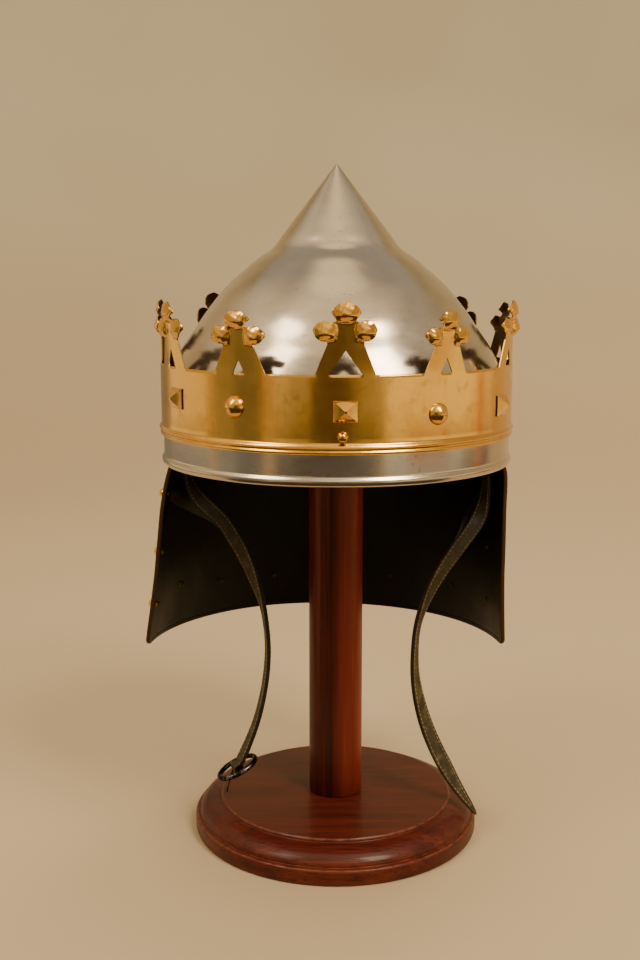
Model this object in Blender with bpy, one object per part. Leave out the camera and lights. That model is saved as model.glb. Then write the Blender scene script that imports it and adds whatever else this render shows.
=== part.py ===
"""A pointed steel helmet with a brass crown, a leather neck guard and two loose chin straps, standing on a
turned wooden display stand. Sizes are in millimetres until a mesh is made, +Z is up, the wearer's face looks
to -Y, and the origin is the centre of the stand's underside."""

import math
from collections.abc import Sequence

import bmesh
import bpy
import numpy as np
from mathutils import Vector
from mathutils.geometry import delaunay_2d_cdt

MM = 0.001
GAP = 0.3                       # clearance kept between neighbouring pieces

# Stand
BASE_RADIUS = 97.5
BASE_HEIGHT = 23.5
POST_RADIUS = 18.2
POST_CHAMFER = 5.0
POST_SEGMENTS = 28
TENON_RADIUS = 9.0
TENON_DEPTH = 14.0

# Skull
RIM_Z = 257.8                   # height of the rolled rim above the floor
WALL_RADIUS = 114.0
SKULL_THICKNESS = 1.3
WALL_HEIGHT = 18.2
DOME_HEIGHT = 114.0             # from the top of the wall to the shoulder, where the drawn-out point begins
POINT_HEIGHT = 57.2
ROLL_HEIGHT = 6.0
ROLL_SWELL = 1.3
SKULL_SEGMENTS = 40

# Crown
CROWN_CLEARANCE = 0.45          # between the skull's wall and the inside of the band
CROWN_THICKNESS = 0.85
CROWN_LIFT = 1.0                # height of the band's bottom above the wall's top
BAND_HEIGHT = 46.0
BAND_MIDDLE = 0.543             # share of the band's height at which its face has a row of points
BEAD_HEIGHT = 7.2
BEAD_SWELL = 1.5
FINIALS = 11
CROWN_TURN = 1.9                # degrees that the front finial stands to the wearer's left
COLUMNS_PER_FINIAL = 6
FINIAL_HEIGHT = 41.5
FOOT_HALF_WIDTH = 17.6
FINIAL_LEAN = 2.7
LOBE_SWELL = 4.2
STUD_PIN_RADIUS = 1.3
STUD_PIN_REACH = 1.4            # how far a stud's pin comes out behind the band
DOME_STUD_RADIUS = 6.6
DOME_STUD_HEIGHT = 4.6
PYRAMID_WIDTH = 12.6
PYRAMID_HEIGHT = 5.0
CROWN_RIVET_RISE = 10.2         # above the band's bottom
CROWN_RIVET_TURN = 1.1

# Neck guard
GUARD_THICKNESS = 2.8
LAP_CLEARANCE = 0.7             # between the guard's outer face and the inside of the skull
LAP_HEIGHT = 24.2               # how far the guard reaches up inside the skull
GUARD_HANG = 131.8              # from the rim down to the hem
GUARD_FLARE = 12.0              # how much the hem's radius is larger than the lap's
GUARD_DRIFT_X = -6.8            # the hanging leather has swung this far to the wearer's right at its hem
GUARD_DRIFT_Y = -8.0
GUARD_HALF_ANGLE = 85.5
GUARD_CORNER = 7.0
GUARD_COLUMNS = 22

# Rivets
RIVET_RADIUS = 3.4
RIVET_HEIGHT = 3.2
SHANK_RADIUS = 1.8
SHANK_PROUD = 0.9
RIVET_SIDES = 8
DRILL_SIDES = 6
DRILL_RUN = 1.5                 # how far a drill runs past what it drills
LAP_RIVET_RISE = 12.5           # above the rim
LAP_AZIMUTHS = (-77.0, -38.5, 0.0, 38.5, 77.0)

# Chin straps
STRAP_WIDTH = 10.4
PLY = 1.3
TAIL_STATIONS = 8
TAIL_LEAD = 0.42                # share of a tail's length over which it keeps the way that it leaves its rivet
TAIL_TRAIL = 0.38               # share over which it takes up the strap's own way
UPPER_LEAD = (0.0, 0.0, -1.75)
LOWER_LEAD = (0.25, 0.55, -0.55)    # added inwards, back along the guard's edge, and downwards
TIP_SHARES = (0.14, 0.45, 0.66, 0.82, 0.94)    # share of the full width at each station up from the tip
BUCKLE_WIRE = 1.7
BUCKLE_HALF_LENGTH = 13.5
BUCKLE_HALF_WIDTH = 9.2
BUCKLE_LIE = (-0.93, 0.0, -0.37)    # the way of its long axis
BUCKLE_STEPS = 20
PRONG_RADIUS = 0.8
PRONG_LENGTH = 17.0
PRONG_HANG = (-0.30, 0.0, -0.95)
LOOP_WIDTH = 8.8
LOOP_REACH = 6.3                # from the strap's last row to the buckle's bar
LOOP_CLEARANCE = 0.55

# Sizes that follow
WALL_TOP_Z = RIM_Z + WALL_HEIGHT
SHOULDER_Z = WALL_TOP_Z + DOME_HEIGHT
TIP_Z = SHOULDER_Z + POINT_HEIGHT
CROWN_RADIUS = WALL_RADIUS + CROWN_CLEARANCE + CROWN_THICKNESS
CROWN_BOTTOM_Z = WALL_TOP_Z + CROWN_LIFT
CROWN_TOP_Z = CROWN_BOTTOM_Z + BAND_HEIGHT
GUARD_LAP_RADIUS = WALL_RADIUS - SKULL_THICKNESS - LAP_CLEARANCE
GUARD_TOP_Z = RIM_Z + LAP_HEIGHT
GUARD_BOTTOM_Z = RIM_Z - GUARD_HANG

# Outer line of the drawn-out point, from its tip down
POINT_ROWS = (
    # (share of the wall radius, share of the height from the shoulder to the tip)
    (0.000, 1.000),
    (0.019, 0.989),
    (0.039, 0.949),
    (0.325, 0.175),
    (0.374, 0.072),
)

# Outer line of the skull from the shoulder of the point down to the wall
SKULL_ROWS = (
    # (share of the wall radius, share of the height from the wall's top to the shoulder)
    (0.441, 1.000),
    (0.540, 0.920),
    (0.640, 0.826),
    (0.733, 0.712),
    (0.818, 0.586),
    (0.893, 0.474),
    (0.950, 0.350),
    (0.986, 0.205),
    (1.000, 0.030),
)

# Turned outline of the base, from the rim of its flat top down to the floor
BASE_ROWS = (
    # (share of the base radius, share of the base height)
    (0.806, 1.000),
    (0.816, 0.905),
    (0.832, 0.885),
    (0.880, 0.850),
    (0.930, 0.745),
    (0.962, 0.610),
    (0.968, 0.520),
    (0.962, 0.485),
    (0.990, 0.450),
    (1.000, 0.070),
    (0.986, 0.000),
)

# Hanging line of the neck guard, from the skull's rim down to the hem
GUARD_ROWS = (
    # (share of the hang, share of the flare, share of the drift)
    (0.006, 0.000, 0.00),
    (0.059, 0.300, -0.20),
    (0.136, 0.440, -0.02),
    (0.272, 0.520, 0.28),
    (0.627, 0.670, 0.62),
    (0.817, 0.830, 0.82),
    (0.947, 0.960, 0.96),
    (1.000, 1.000, 1.00),
)

# Bead along the bottom of the crown band
BEAD_ROWS = (
    # (share of the bead's height, share of its swell)
    (0.000, 0.400),
    (0.361, 0.133),
    (0.583, 0.533),
    (0.778, 1.000),
    (1.000, 0.000),
)

# Raised lobes of a finial
LOBES = (
    # (centre across, centre above the band, half width, half height), as shares of the foot's half width
    # and of the finial's height in turn
    (-0.653, 0.588, 0.347, 0.145),
    (0.653, 0.588, 0.347, 0.145),
    (0.000, 0.848, 0.455, 0.140),
)

# Corners of a finial's outline that aren't on a lobe, and points on its plain face
FINIAL_WAIST = (0.591, 0.424)
FINIAL_NOTCH = (0.330, 0.718)
FINIAL_FACE = ((0.000, 0.602), (-0.295, 0.506), (0.295, 0.506))

# The finials in turn, from the front one round over the wearer's left. They are cut by hand, so each differs
FINIAL_ROWS = (
    # (degrees off even spacing, share of full height, share of full width, opening height as a share of the
    # finial's, opening half width as a share of the foot's)
    (0.0, 1.00, 1.00, 0.337, 0.557),
    (-1.4, 0.87, 0.86, 0.207, 0.250),
    (0.6, 0.97, 0.95, 0.265, 0.318),
    (3.4, 0.90, 0.95, 0.251, 0.307),
    (-2.4, 0.97, 1.00, 0.231, 0.295),
    (0.0, 0.94, 0.97, 0.270, 0.341),
    (0.8, 0.97, 1.00, 0.236, 0.318),
    (-3.4, 1.04, 1.00, 0.255, 0.295),
    (-1.2, 0.95, 0.98, 0.227, 0.330),
    (1.1, 0.96, 1.00, 0.280, 0.307),
    (0.5, 0.88, 1.00, 0.188, 0.227),
)

# Studs across the front of the crown, from the wearer's right to the left
STUD_ROWS = (
    # (kind, azimuth in degrees from the front, share of the band's height)
    ("pyramid", -58.8, 0.587),
    ("dome", -31.9, 0.565),
    ("pyramid", 1.9, 0.548),
    ("dome", 30.5, 0.478),
    ("pyramid", 61.6, 0.483),
)

# Rivets round the border of the neck guard, from its edge on the wearer's right to that on the left
BORDER_RIVETS = (
    # (name, azimuth in degrees from straight behind, share of the guard's hang, whether it holds a strap)
    ("edge_rivet_right_1", -82.0, 0.203, True),
    ("edge_rivet_right_2", -82.0, 0.510, False),
    ("hem_rivet_1", -82.0, 0.788, False),
    ("hem_rivet_2", -63.0, 0.753, False),
    ("hem_rivet_3", -42.0, 0.799, False),
    ("hem_rivet_4", -20.0, 0.810, False),
    ("hem_rivet_5", 3.0, 0.807, False),
    ("hem_rivet_6", 24.5, 0.810, False),
    ("hem_rivet_7", 51.0, 0.803, False),
    ("hem_rivet_8", 71.5, 0.807, False),
    ("edge_rivet_left_2", 71.5, 0.518, False),
    ("edge_rivet_left_1", 71.5, 0.203, True),
)

# Centre lines of the straps below the fork, with the way that the grain side faces
BUCKLE_STRAP_ROWS = (
    # (sideways and back as shares of the wall radius, height as a share of the way from the base up to the
    # rim, degrees that the grain side is turned from the front towards the wearer's right)
    (-0.636, 0.101, 0.775, 8.0),
    (-0.553, 0.075, 0.706, 24.0),
    (-0.488, 0.047, 0.634, 50.0),
    (-0.441, 0.021, 0.566, 72.0),
    (-0.418, -0.007, 0.501, 78.0),
    (-0.408, -0.033, 0.437, 78.0),
    (-0.416, -0.063, 0.369, 76.0),
    (-0.439, -0.089, 0.301, 75.0),
    (-0.474, -0.116, 0.235, 73.0),
    (-0.520, -0.140, 0.175, 70.0),
    (-0.567, -0.160, 0.124, 67.0),
)
FREE_STRAP_ROWS = (
    # (sideways and back as shares of the wall radius, height as a share of the way from the base up to the
    # rim, degrees that the grain side is turned from the front towards the wearer's left)
    (0.728, 0.093, 0.719, 10.0),
    (0.647, 0.070, 0.666, 26.0),
    (0.575, 0.044, 0.608, 46.0),
    (0.519, 0.018, 0.546, 62.0),
    (0.487, -0.007, 0.489, 68.0),
    (0.475, -0.039, 0.423, 66.0),
    (0.477, -0.068, 0.359, 60.0),
    (0.500, -0.100, 0.292, 50.0),
    (0.542, -0.132, 0.222, 40.0),
    (0.598, -0.161, 0.158, 32.0),
    (0.663, -0.188, 0.099, 28.0),
    (0.733, -0.212, 0.042, 26.0),
    (0.837, -0.246, -0.029, 26.0),
)

# Stations of the loop round the buckle's bar
LOOP_ROWS = (
    # (share of the loop's reach, share of its opening)
    (0.54, 0.00),
    (0.78, 0.75),
    (1.00, 1.00),
    (1.22, 0.75),
    (1.46, 0.00),
    (1.62, 0.00),
)
BAR_ROW = 2                     # which of them holds the bar

STEEL = ("spun_steel", (0.56, 0.54, 0.51, 1.0), 0.28, 1.0)
BRASS = ("polished_brass", (0.80, 0.52, 0.18, 1.0), 0.22, 1.0)
LEATHER = ("black_leather", (0.012, 0.011, 0.009, 1.0), 0.55, 0.0)
STRAP_LEATHER = ("strap_leather", (0.055, 0.044, 0.022, 1.0), 0.60, 0.0)
DARK_IRON = ("blackened_iron", (0.05, 0.05, 0.05, 1.0), 0.35, 1.0)
WOOD = ("mahogany_stained_wood", (0.20, 0.035, 0.012, 1.0), 0.30, 0.0)

Point = tuple[float, float, float]


def clear_scene() -> None:
    """Empties the scene."""
    for item in list(bpy.data.objects):
        bpy.data.objects.remove(item, do_unlink=True)


def material_of(look: tuple) -> bpy.types.Material:
    """Gives the material of this name, colour, roughness and metallic value, made once."""
    name, colour, roughness, metallic = look
    found = bpy.data.materials.get(name)
    if found:
        return found
    made = bpy.data.materials.new(name)
    made.use_nodes = True
    shader = made.node_tree.nodes["Principled BSDF"]
    shader.inputs["Base Color"].default_value = colour
    shader.inputs["Roughness"].default_value = roughness
    shader.inputs["Metallic"].default_value = metallic
    made.diffuse_color = colour
    return made


def add_piece(name: str, points: Sequence, faces: Sequence, look: tuple, smooth: bool = True) -> bpy.types.Object:
    """Makes one closed object from points in millimetres, with its faces turned outwards."""
    mesh = bpy.data.meshes.new(name)
    mesh.from_pydata([tuple(float(c) * MM for c in p) for p in points], [], [list(f) for f in faces])
    tidy = bmesh.new()
    tidy.from_mesh(mesh)
    bmesh.ops.recalc_face_normals(tidy, faces=tidy.faces)
    if tidy.calc_volume(signed=True) < 0:
        bmesh.ops.reverse_faces(tidy, faces=tidy.faces)
    tidy.to_mesh(mesh)
    tidy.free()
    mesh.materials.append(material_of(look))
    for face in mesh.polygons:
        face.use_smooth = smooth
    made = bpy.data.objects.new(name, mesh)
    bpy.context.scene.collection.objects.link(made)
    return made


def cut(target: bpy.types.Object, cutter: bpy.types.Object) -> None:
    """Drills the cutter's holes through the target."""
    drill = target.modifiers.new("holes", "BOOLEAN")
    drill.operation = "DIFFERENCE"
    drill.solver = "EXACT"
    drill.object = cutter


def lathe(profile: Sequence[tuple[float, float]], segments: int, closed: bool = False) -> tuple[list, list]:
    """Turns (radius, height) points about Z. A point on the axis becomes a pole, and a closed profile a ring."""
    points: list[Point] = []
    rings: list[list[int]] = []
    for radius, height in profile:
        if radius <= 0:
            rings.append([len(points)])
            points.append((0.0, 0.0, height))
            continue
        rings.append(list(range(len(points), len(points) + segments)))
        for k in range(segments):
            turn = 2 * math.pi * k / segments
            points.append((radius * math.cos(turn), radius * math.sin(turn), height))
    faces = []
    pairs = list(zip(rings, rings[1:] + rings[:1])) if closed else list(zip(rings, rings[1:]))
    for upper, lower in pairs:
        for k in range(segments):
            corners = [upper[k % len(upper)], upper[(k + 1) % len(upper)],
                       lower[(k + 1) % len(lower)], lower[k % len(lower)]]
            faces.append(list(dict.fromkeys(corners)))
    return points, faces


def placed(points: Sequence, origin: Point, outward: Point) -> list[Point]:
    """Moves points so that their own Z axis runs along outward, from origin."""
    turn = Vector(outward).to_track_quat("Z", "Y")
    return [tuple(turn @ Vector(p) + Vector(origin)) for p in points]


def inset(profile: Sequence[tuple[float, float]], depth: float) -> list[tuple[float, float]]:
    """Moves a skull outline, which runs from the tip down, inwards by depth along its normals."""
    line = np.array(profile)
    ahead = np.vstack([line[1:], line[-1:]]) - line
    behind = line - np.vstack([line[:1], line[:-1]])
    along = []
    for before, after in zip(behind, ahead):
        steps = [v / np.linalg.norm(v) for v in (before, after) if np.linalg.norm(v) > 0]
        along.append(sum(steps) / np.linalg.norm(sum(steps)))
    moved = []
    for (radius, height), (step_r, step_z) in zip(profile, along):
        if radius <= 0:
            moved.append((0.0, height - depth))
            continue
        moved.append((radius + step_z * depth, height - step_r * depth))
    return moved


def skull_outline() -> list[tuple[float, float]]:
    """Gives the outer line of the skull from its tip to the top of the rolled rim."""
    line = [(a * WALL_RADIUS, SHOULDER_Z + b * POINT_HEIGHT) for a, b in POINT_ROWS]
    line += [(a * WALL_RADIUS, WALL_TOP_Z + b * DOME_HEIGHT) for a, b in SKULL_ROWS]
    line.append((WALL_RADIUS, RIM_Z + ROLL_HEIGHT))
    return line


def make_skull() -> bpy.types.Object:
    """The spun skull: a drawn-out point, a tall dome, a plain wall and a rolled rim, open below."""
    outer = skull_outline()
    roll = [(WALL_RADIUS + 0.85 * ROLL_SWELL, RIM_Z + 0.78 * ROLL_HEIGHT),
            (WALL_RADIUS + ROLL_SWELL, RIM_Z + 0.5 * ROLL_HEIGHT),
            (WALL_RADIUS + 0.7 * ROLL_SWELL, RIM_Z + 0.18 * ROLL_HEIGHT),
            (WALL_RADIUS - 0.08 * ROLL_SWELL, RIM_Z)]
    inner = inset(outer, SKULL_THICKNESS)[:-1]
    hem = [(WALL_RADIUS - SKULL_THICKNESS, RIM_Z + 0.1 * ROLL_HEIGHT)]
    points, faces = lathe(outer + roll + hem + inner[::-1], SKULL_SEGMENTS)
    return add_piece("skull", points, faces, STEEL)


def crown_point(arc: float, height: float, swell: float, azimuth: float) -> Point:
    """Wraps a point of the flat crown sheet round the crown, azimuth being that of its finial."""
    turn = azimuth + arc / CROWN_RADIUS
    radius = CROWN_RADIUS + swell
    return (radius * math.sin(turn), -radius * math.cos(turn), height)


def lobe_sizes() -> list[tuple[float, float, float, float]]:
    """Centre across, centre above the band, half width and half height of each lobe of a full finial."""
    wide, tall = FOOT_HALF_WIDTH, FINIAL_HEIGHT
    return [(x * wide, y * tall, w * wide, t * tall) for x, y, w, t in LOBES]


def on_finial(shares: Sequence[float]) -> tuple[float, float]:
    """A point of a full finial from its shares of the foot's half width and of the finial's height."""
    return (shares[0] * FOOT_HALF_WIDTH, shares[1] * FINIAL_HEIGHT)


def lobe_swell(arc: float, rise: float) -> float:
    """How far the raised lobes stand out of the sheet at a point of a finial."""
    best = 0.0
    for across, above, wide, tall in lobe_sizes():
        reach = math.hypot((arc - across) / wide, (rise - above) / tall)
        best = max(best, LOBE_SWELL * max(0.0, 1 - reach * reach) ** 0.62)
    return best


def finial_outline() -> list[tuple[float, float]]:
    """The sheet outline of a full finial above the band, from its right foot over the top to its left foot."""
    _, side, crest = lobe_sizes()
    right = [(FOOT_HALF_WIDTH, 0.0), on_finial(FINIAL_WAIST)]
    across, above, wide, tall = side
    for degrees, point in ((-98, 1.0), (-58, 1.0), (-20, 1.0), (8, 1.12), (44, 1.0), (80, 1.0), (118, 1.0)):
        turn = math.radians(degrees)
        right.append((across + wide * point * math.cos(turn), above + tall * math.sin(turn)))
    right.append(on_finial(FINIAL_NOTCH))
    across, above, wide, tall = crest
    for degrees in (-30, 2, 34, 64):
        turn = math.radians(degrees)
        right.append((across + wide * math.cos(turn), above + tall * math.sin(turn)))
    top = [(0.0, FINIAL_HEIGHT)]
    return right + top + [(-a, b) for a, b in reversed(right)]


def inside(point: Sequence[float], polygon: Sequence) -> bool:
    """Tells whether a flat point lies in a polygon."""
    x, y = point
    hit = False
    for (ax, ay), (bx, by) in zip(polygon, list(polygon[1:]) + [polygon[0]]):
        if (ay > y) != (by > y) and x < ax + (y - ay) * (bx - ax) / (by - ay):
            hit = not hit
    return hit


def flat_sheet(outline: Sequence, hole: Sequence, extra: Sequence, rows: Sequence[float]) -> tuple[list, list]:
    """Triangulates one finial's share of the crown: its piece of band, and the finial without its opening."""
    half = math.pi * CROWN_RADIUS / FINIALS
    depth = CROWN_BOTTOM_Z - CROWN_TOP_Z
    columns = [-half + 2 * half * k / COLUMNS_PER_FINIAL for k in range(COLUMNS_PER_FINIAL + 1)]
    band = [(x, depth + row) for row in rows for x in columns]
    top = [(x, 0.0) for x in (columns[0], columns[1], columns[-2], columns[-1])]
    points = [Vector(p) for p in band + top + list(outline) + list(hole) + list(extra)]
    first = len(band) + len(top)
    edges = [(first + k, first + k + 1) for k in range(len(outline) - 1)]
    first += len(outline)
    edges += [(first, first + 1), (first + 1, first + 2), (first + 2, first)]
    flat, _, found, *_ = delaunay_2d_cdt(points, edges, [], 0, 1e-5)
    kept = []
    for face in found:
        middle = sum((flat[i] for i in face), Vector((0.0, 0.0))) / len(face)
        within = middle.y < 0 or inside(middle, outline)
        if within and not inside(middle, hole):
            kept.append(list(face))
    return [(p.x, p.y) for p in flat], kept


def band_swell(rise: float) -> float:
    """How far the bead stands out of the band at a height above the band's bottom."""
    heights, swells = zip(*BEAD_ROWS)
    return BEAD_SWELL * float(np.interp(rise / BEAD_HEIGHT, heights, swells))


def make_crown() -> bpy.types.Object:
    """The crown: one sheet with a bead along its bottom and a row of pierced finials, each with three lobes."""
    corners: list[Point] = []
    skins: list[int] = []
    faces: list[list[int]] = []
    bead_heights = [row[0] * BEAD_HEIGHT for row in BEAD_ROWS]
    middle_row = BAND_MIDDLE * BAND_HEIGHT
    lobes = lobe_sizes()
    ring = [(0.6 * math.cos(math.radians(a)), 0.6 * math.sin(math.radians(a))) for a in range(18, 378, 72)]
    raised = [(x + u * w, y + v * t) for x, y, w, t in lobes for u, v in [(0.0, 0.0)] + ring]
    hollow = [(x, y) for x, y, _, _ in lobes]
    plain = [on_finial(shares) for shares in FINIAL_FACE]
    for number, (stray, tall, wide, opening_height, opening_width) in enumerate(FINIAL_ROWS):
        half_opening, opening = on_finial((opening_width, opening_height))
        azimuth = math.radians(CROWN_TURN) + 2 * math.pi * number / FINIALS
        shift = CROWN_RADIUS * math.radians(stray)

        def fitted(flat_points: Sequence) -> list[tuple[float, float]]:
            return [(shift + wide * x, tall * y) for x, y in flat_points]

        outline = fitted(finial_outline())
        hole = [(shift - half_opening, 0.0), (shift + half_opening, 0.0), (shift, opening)]
        sides = (
            (0.0, bead_heights + [middle_row], fitted(raised + plain)),
            (-CROWN_THICKNESS, [0.0, middle_row], fitted(hollow + plain)),
        )
        for offset, rows, extra in sides:
            flat, kept = flat_sheet(outline, hole, extra, rows)
            start = len(corners)
            for arc, rise in flat:
                lean = FINIAL_LEAN * max(0.0, rise / FINIAL_HEIGHT) ** 1.3
                bead = band_swell(rise + BAND_HEIGHT) if offset == 0 else 0.0
                swell = lean + lobe_swell((arc - shift) / wide, rise / tall) + bead + offset
                corners.append(crown_point(arc, CROWN_TOP_Z + rise, swell, azimuth))
                skins.append(0 if offset == 0 else 1)
            faces += [[start + i for i in (face if offset == 0 else face[::-1])] for face in kept]
    mesh = bmesh.new()
    skin = mesh.verts.layers.int.new("skin")
    points = [mesh.verts.new(p) for p in corners]
    for point, number in zip(points, skins):
        point[skin] = number
    for face in faces:
        mesh.faces.new([points[i] for i in face])
    bmesh.ops.remove_doubles(mesh, verts=mesh.verts, dist=1e-3)
    loose = [v for v in mesh.verts if not v.link_faces]
    bmesh.ops.delete(mesh, geom=loose, context="VERTS")
    rim = [e for e in mesh.edges if e.is_boundary]
    bmesh.ops.triangulate(mesh, faces=mesh.faces)
    close_rims(mesh, rim, skin)
    mesh.verts.index_update()
    points_out = [tuple(v.co) for v in mesh.verts]
    faces_out = [[v.index for v in f.verts] for f in mesh.faces]
    mesh.free()
    return add_piece("crown", points_out, faces_out, BRASS, smooth=False)


def close_rims(mesh: bmesh.types.BMesh, rim: Sequence, skin: bmesh.types.BMLayerItem) -> None:
    """Joins the open edges of the crown's outer sheet, skin 0, to the points of the inner one behind them."""
    def laid_flat(vert: bmesh.types.BMVert) -> np.ndarray:
        turn = math.atan2(vert.co.x, -vert.co.y)
        return np.array([CROWN_RADIUS * math.cos(turn), CROWN_RADIUS * math.sin(turn), vert.co.z])

    inner = list({v for edge in rim for v in edge.verts if v[skin] == 1})
    places = np.array([laid_flat(v) for v in inner])
    for edge in rim:
        a, b = edge.verts
        if a[skin] == 1:
            continue
        far = [np.sum((places - laid_flat(v)) ** 2, axis=1) for v in (a, b)]
        behind_a, behind_b = (inner[int(np.argmin(squares))] for squares in far)
        mesh.faces.new([a, b, behind_b])
        mesh.faces.new([a, behind_b, behind_a])


def rivet_profile(grip: float) -> list[tuple[float, float]]:
    """A domed rivet along Z: its head stands above zero and its shank ends below the grip."""
    return [(0.0, RIVET_HEIGHT), (0.72 * RIVET_RADIUS, 0.68 * RIVET_HEIGHT), (RIVET_RADIUS, 0.0),
            (SHANK_RADIUS, 0.0), (SHANK_RADIUS, -grip - SHANK_PROUD), (0.0, -grip - SHANK_PROUD)]


def drill_profile(radius: float, depth: float) -> list[tuple[float, float]]:
    """A drill along Z for a pin of this radius that reaches this deep."""
    wide, below = radius + GAP, -depth - DRILL_RUN
    return [(0.0, DRILL_RUN), (wide, DRILL_RUN), (wide, below), (0.0, below)]


def merged(parts: Sequence[tuple[list, list]]) -> tuple[list, list]:
    """Puts several shapes into one list of points and one of faces."""
    points: list = []
    faces: list = []
    for some_points, some_faces in parts:
        start = len(points)
        points += some_points
        faces += [[start + i for i in face] for face in some_faces]
    return points, faces


def add_cutter(name: str, parts: Sequence[tuple[list, list]]) -> bpy.types.Object:
    """Makes one hidden cutter from several drills."""
    points, faces = merged(parts)
    cutter = add_piece(name, points, faces, DARK_IRON, smooth=False)
    cutter.hide_render = True
    cutter.display_type = "WIRE"
    return cutter


def guard_row(z: float) -> tuple[float, float, float]:
    """Gives the outer radius of the neck guard at a height, and the drift of its centre in x and y."""
    below, grown, drift = zip(*GUARD_ROWS)
    hang = (RIM_Z - z) / GUARD_HANG
    radius = GUARD_LAP_RADIUS + float(np.interp(hang, below, grown)) * GUARD_FLARE
    share = float(np.interp(hang, below, drift))
    return radius, share * GUARD_DRIFT_X, share * GUARD_DRIFT_Y


def guard_point(azimuth: float, z: float, depth: float) -> Point:
    """A point of the neck guard, depth below its outer face. Azimuth is in degrees from straight behind."""
    radius, drift_x, drift_y = guard_row(z)
    turn = math.radians(azimuth)
    return (drift_x + (radius - depth) * math.sin(turn), drift_y + (radius - depth) * math.cos(turn), z)


def make_guard() -> bpy.types.Object:
    """The leather neck guard: a curtain round the back, lapped inside the skull, flaring below the rim."""
    edge = (GUARD_LAP_RADIUS + GUARD_FLARE) * math.radians(1.0)
    corner_steps = [0.0, 0.12 * GUARD_CORNER, 0.35 * GUARD_CORNER, 0.65 * GUARD_CORNER, GUARD_CORNER]
    last = GUARD_HALF_ANGLE - GUARD_CORNER / edge
    middle = np.linspace(-last, last, GUARD_COLUMNS + 1)[1:-1]
    ends = [GUARD_HALF_ANGLE - step / edge for step in corner_steps]
    columns = [-a for a in ends] + list(middle) + ends[::-1]
    heights = [GUARD_TOP_Z] + [RIM_Z - row[0] * GUARD_HANG for row in GUARD_ROWS]
    points: list[Point] = []
    for depth in (0.0, GUARD_THICKNESS):
        for azimuth in columns:
            inward = max(0.0, GUARD_CORNER - (GUARD_HALF_ANGLE - abs(azimuth)) * edge)
            lift = GUARD_CORNER - math.sqrt(max(0.0, GUARD_CORNER ** 2 - inward ** 2))
            for z in heights:
                blend = max(0.0, 1 - (z - GUARD_BOTTOM_Z) / (4 * GUARD_CORNER))
                points.append(guard_point(azimuth, z + lift * blend, depth))
    rows = len(heights)
    count = len(columns)
    faces = []
    for side in (0, count * rows):
        for i in range(count - 1):
            for j in range(rows - 1):
                a = side + i * rows + j
                faces.append([a, a + 1, a + rows + 1, a + rows])
    back = count * rows
    border = [i * rows for i in range(count)]
    border += [(count - 1) * rows + j for j in range(1, rows)]
    border += [i * rows + rows - 1 for i in range(count - 2, -1, -1)]
    border += [j for j in range(rows - 2, 0, -1)]
    for a, b in zip(border, border[1:] + border[:1]):
        faces.append([a, b, back + b, back + a])
    return add_piece("neck_guard", points, faces, LEATHER)


def guard_rivet_frames() -> list[tuple[str, Point, Point, float]]:
    """Name, seat, outward direction and grip of each rivet of the neck guard."""
    frames = []
    for number, azimuth in enumerate(LAP_AZIMUTHS, 1):
        turn = math.radians(azimuth)
        out = (math.sin(turn), math.cos(turn), 0.0)
        seat = tuple((WALL_RADIUS + GAP) * c for c in out[:2]) + (RIM_Z + LAP_RIVET_RISE,)
        grip = WALL_RADIUS + GAP - (GUARD_LAP_RADIUS - GUARD_THICKNESS)
        if abs(azimuth) == LAP_AZIMUTHS[-1]:
            grip += PLY + 2 * GAP
        frames.append((f"lap_rivet_{number}", seat, out, grip))
    for name, azimuth, hang, holds_strap in BORDER_RIVETS:
        z = RIM_Z - hang * GUARD_HANG
        turn = math.radians(azimuth)
        step = RIVET_RADIUS
        slope = (guard_row(z + step)[0] - guard_row(z - step)[0]) / (2 * step)
        out = Vector((math.sin(turn), math.cos(turn), -slope)).normalized()
        seat = Vector(guard_point(azimuth, z, 0.0)) + GAP * out
        grip = GUARD_THICKNESS + GAP
        if holds_strap:
            grip += PLY + 2 * GAP
        frames.append((name, tuple(seat), tuple(out), grip))
    return frames


def smooth_path(rows: Sequence[Sequence[float]], steps: int) -> list[np.ndarray]:
    """Runs a smooth curve through the rows and gives evenly many points between each pair."""
    data = np.array(rows, float)
    padded = np.vstack([2 * data[0] - data[1], data, 2 * data[-1] - data[-2]])
    out = []
    for k in range(1, len(padded) - 2):
        p0, p1, p2, p3 = padded[k - 1:k + 3]
        for step in range(steps):
            t = step / steps
            out.append(0.5 * (2 * p1 + (p2 - p0) * t + (2 * p0 - 5 * p1 + 4 * p2 - p3) * t * t
                              + (3 * p1 - p0 - 3 * p2 + p3) * t ** 3))
    out.append(data[-1])
    return out


def unit(vector: np.ndarray) -> np.ndarray:
    """Gives the vector at length one."""
    return vector / np.linalg.norm(vector)


def strap_frames(rows: Sequence, side: int, steps: int) -> list[tuple[np.ndarray, np.ndarray, np.ndarray]]:
    """Centre, width direction and grain direction along a strap. Side is -1 on the wearer's right."""
    drop = RIM_Z - BASE_HEIGHT
    points = [(x * WALL_RADIUS, y * WALL_RADIUS, BASE_HEIGHT + z * drop, turn) for x, y, z, turn in rows]
    path = smooth_path(points, steps)
    frames = []
    for k, row in enumerate(path):
        along = unit(path[min(k + 1, len(path) - 1)][:3] - path[max(k - 1, 0)][:3])
        turn = math.radians(row[3])
        face = np.array([side * math.sin(turn), -math.cos(turn), 0.0])
        across = unit(np.cross(along, face))
        frames.append((row[:3], across, unit(np.cross(across, along))))
    return frames


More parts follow.
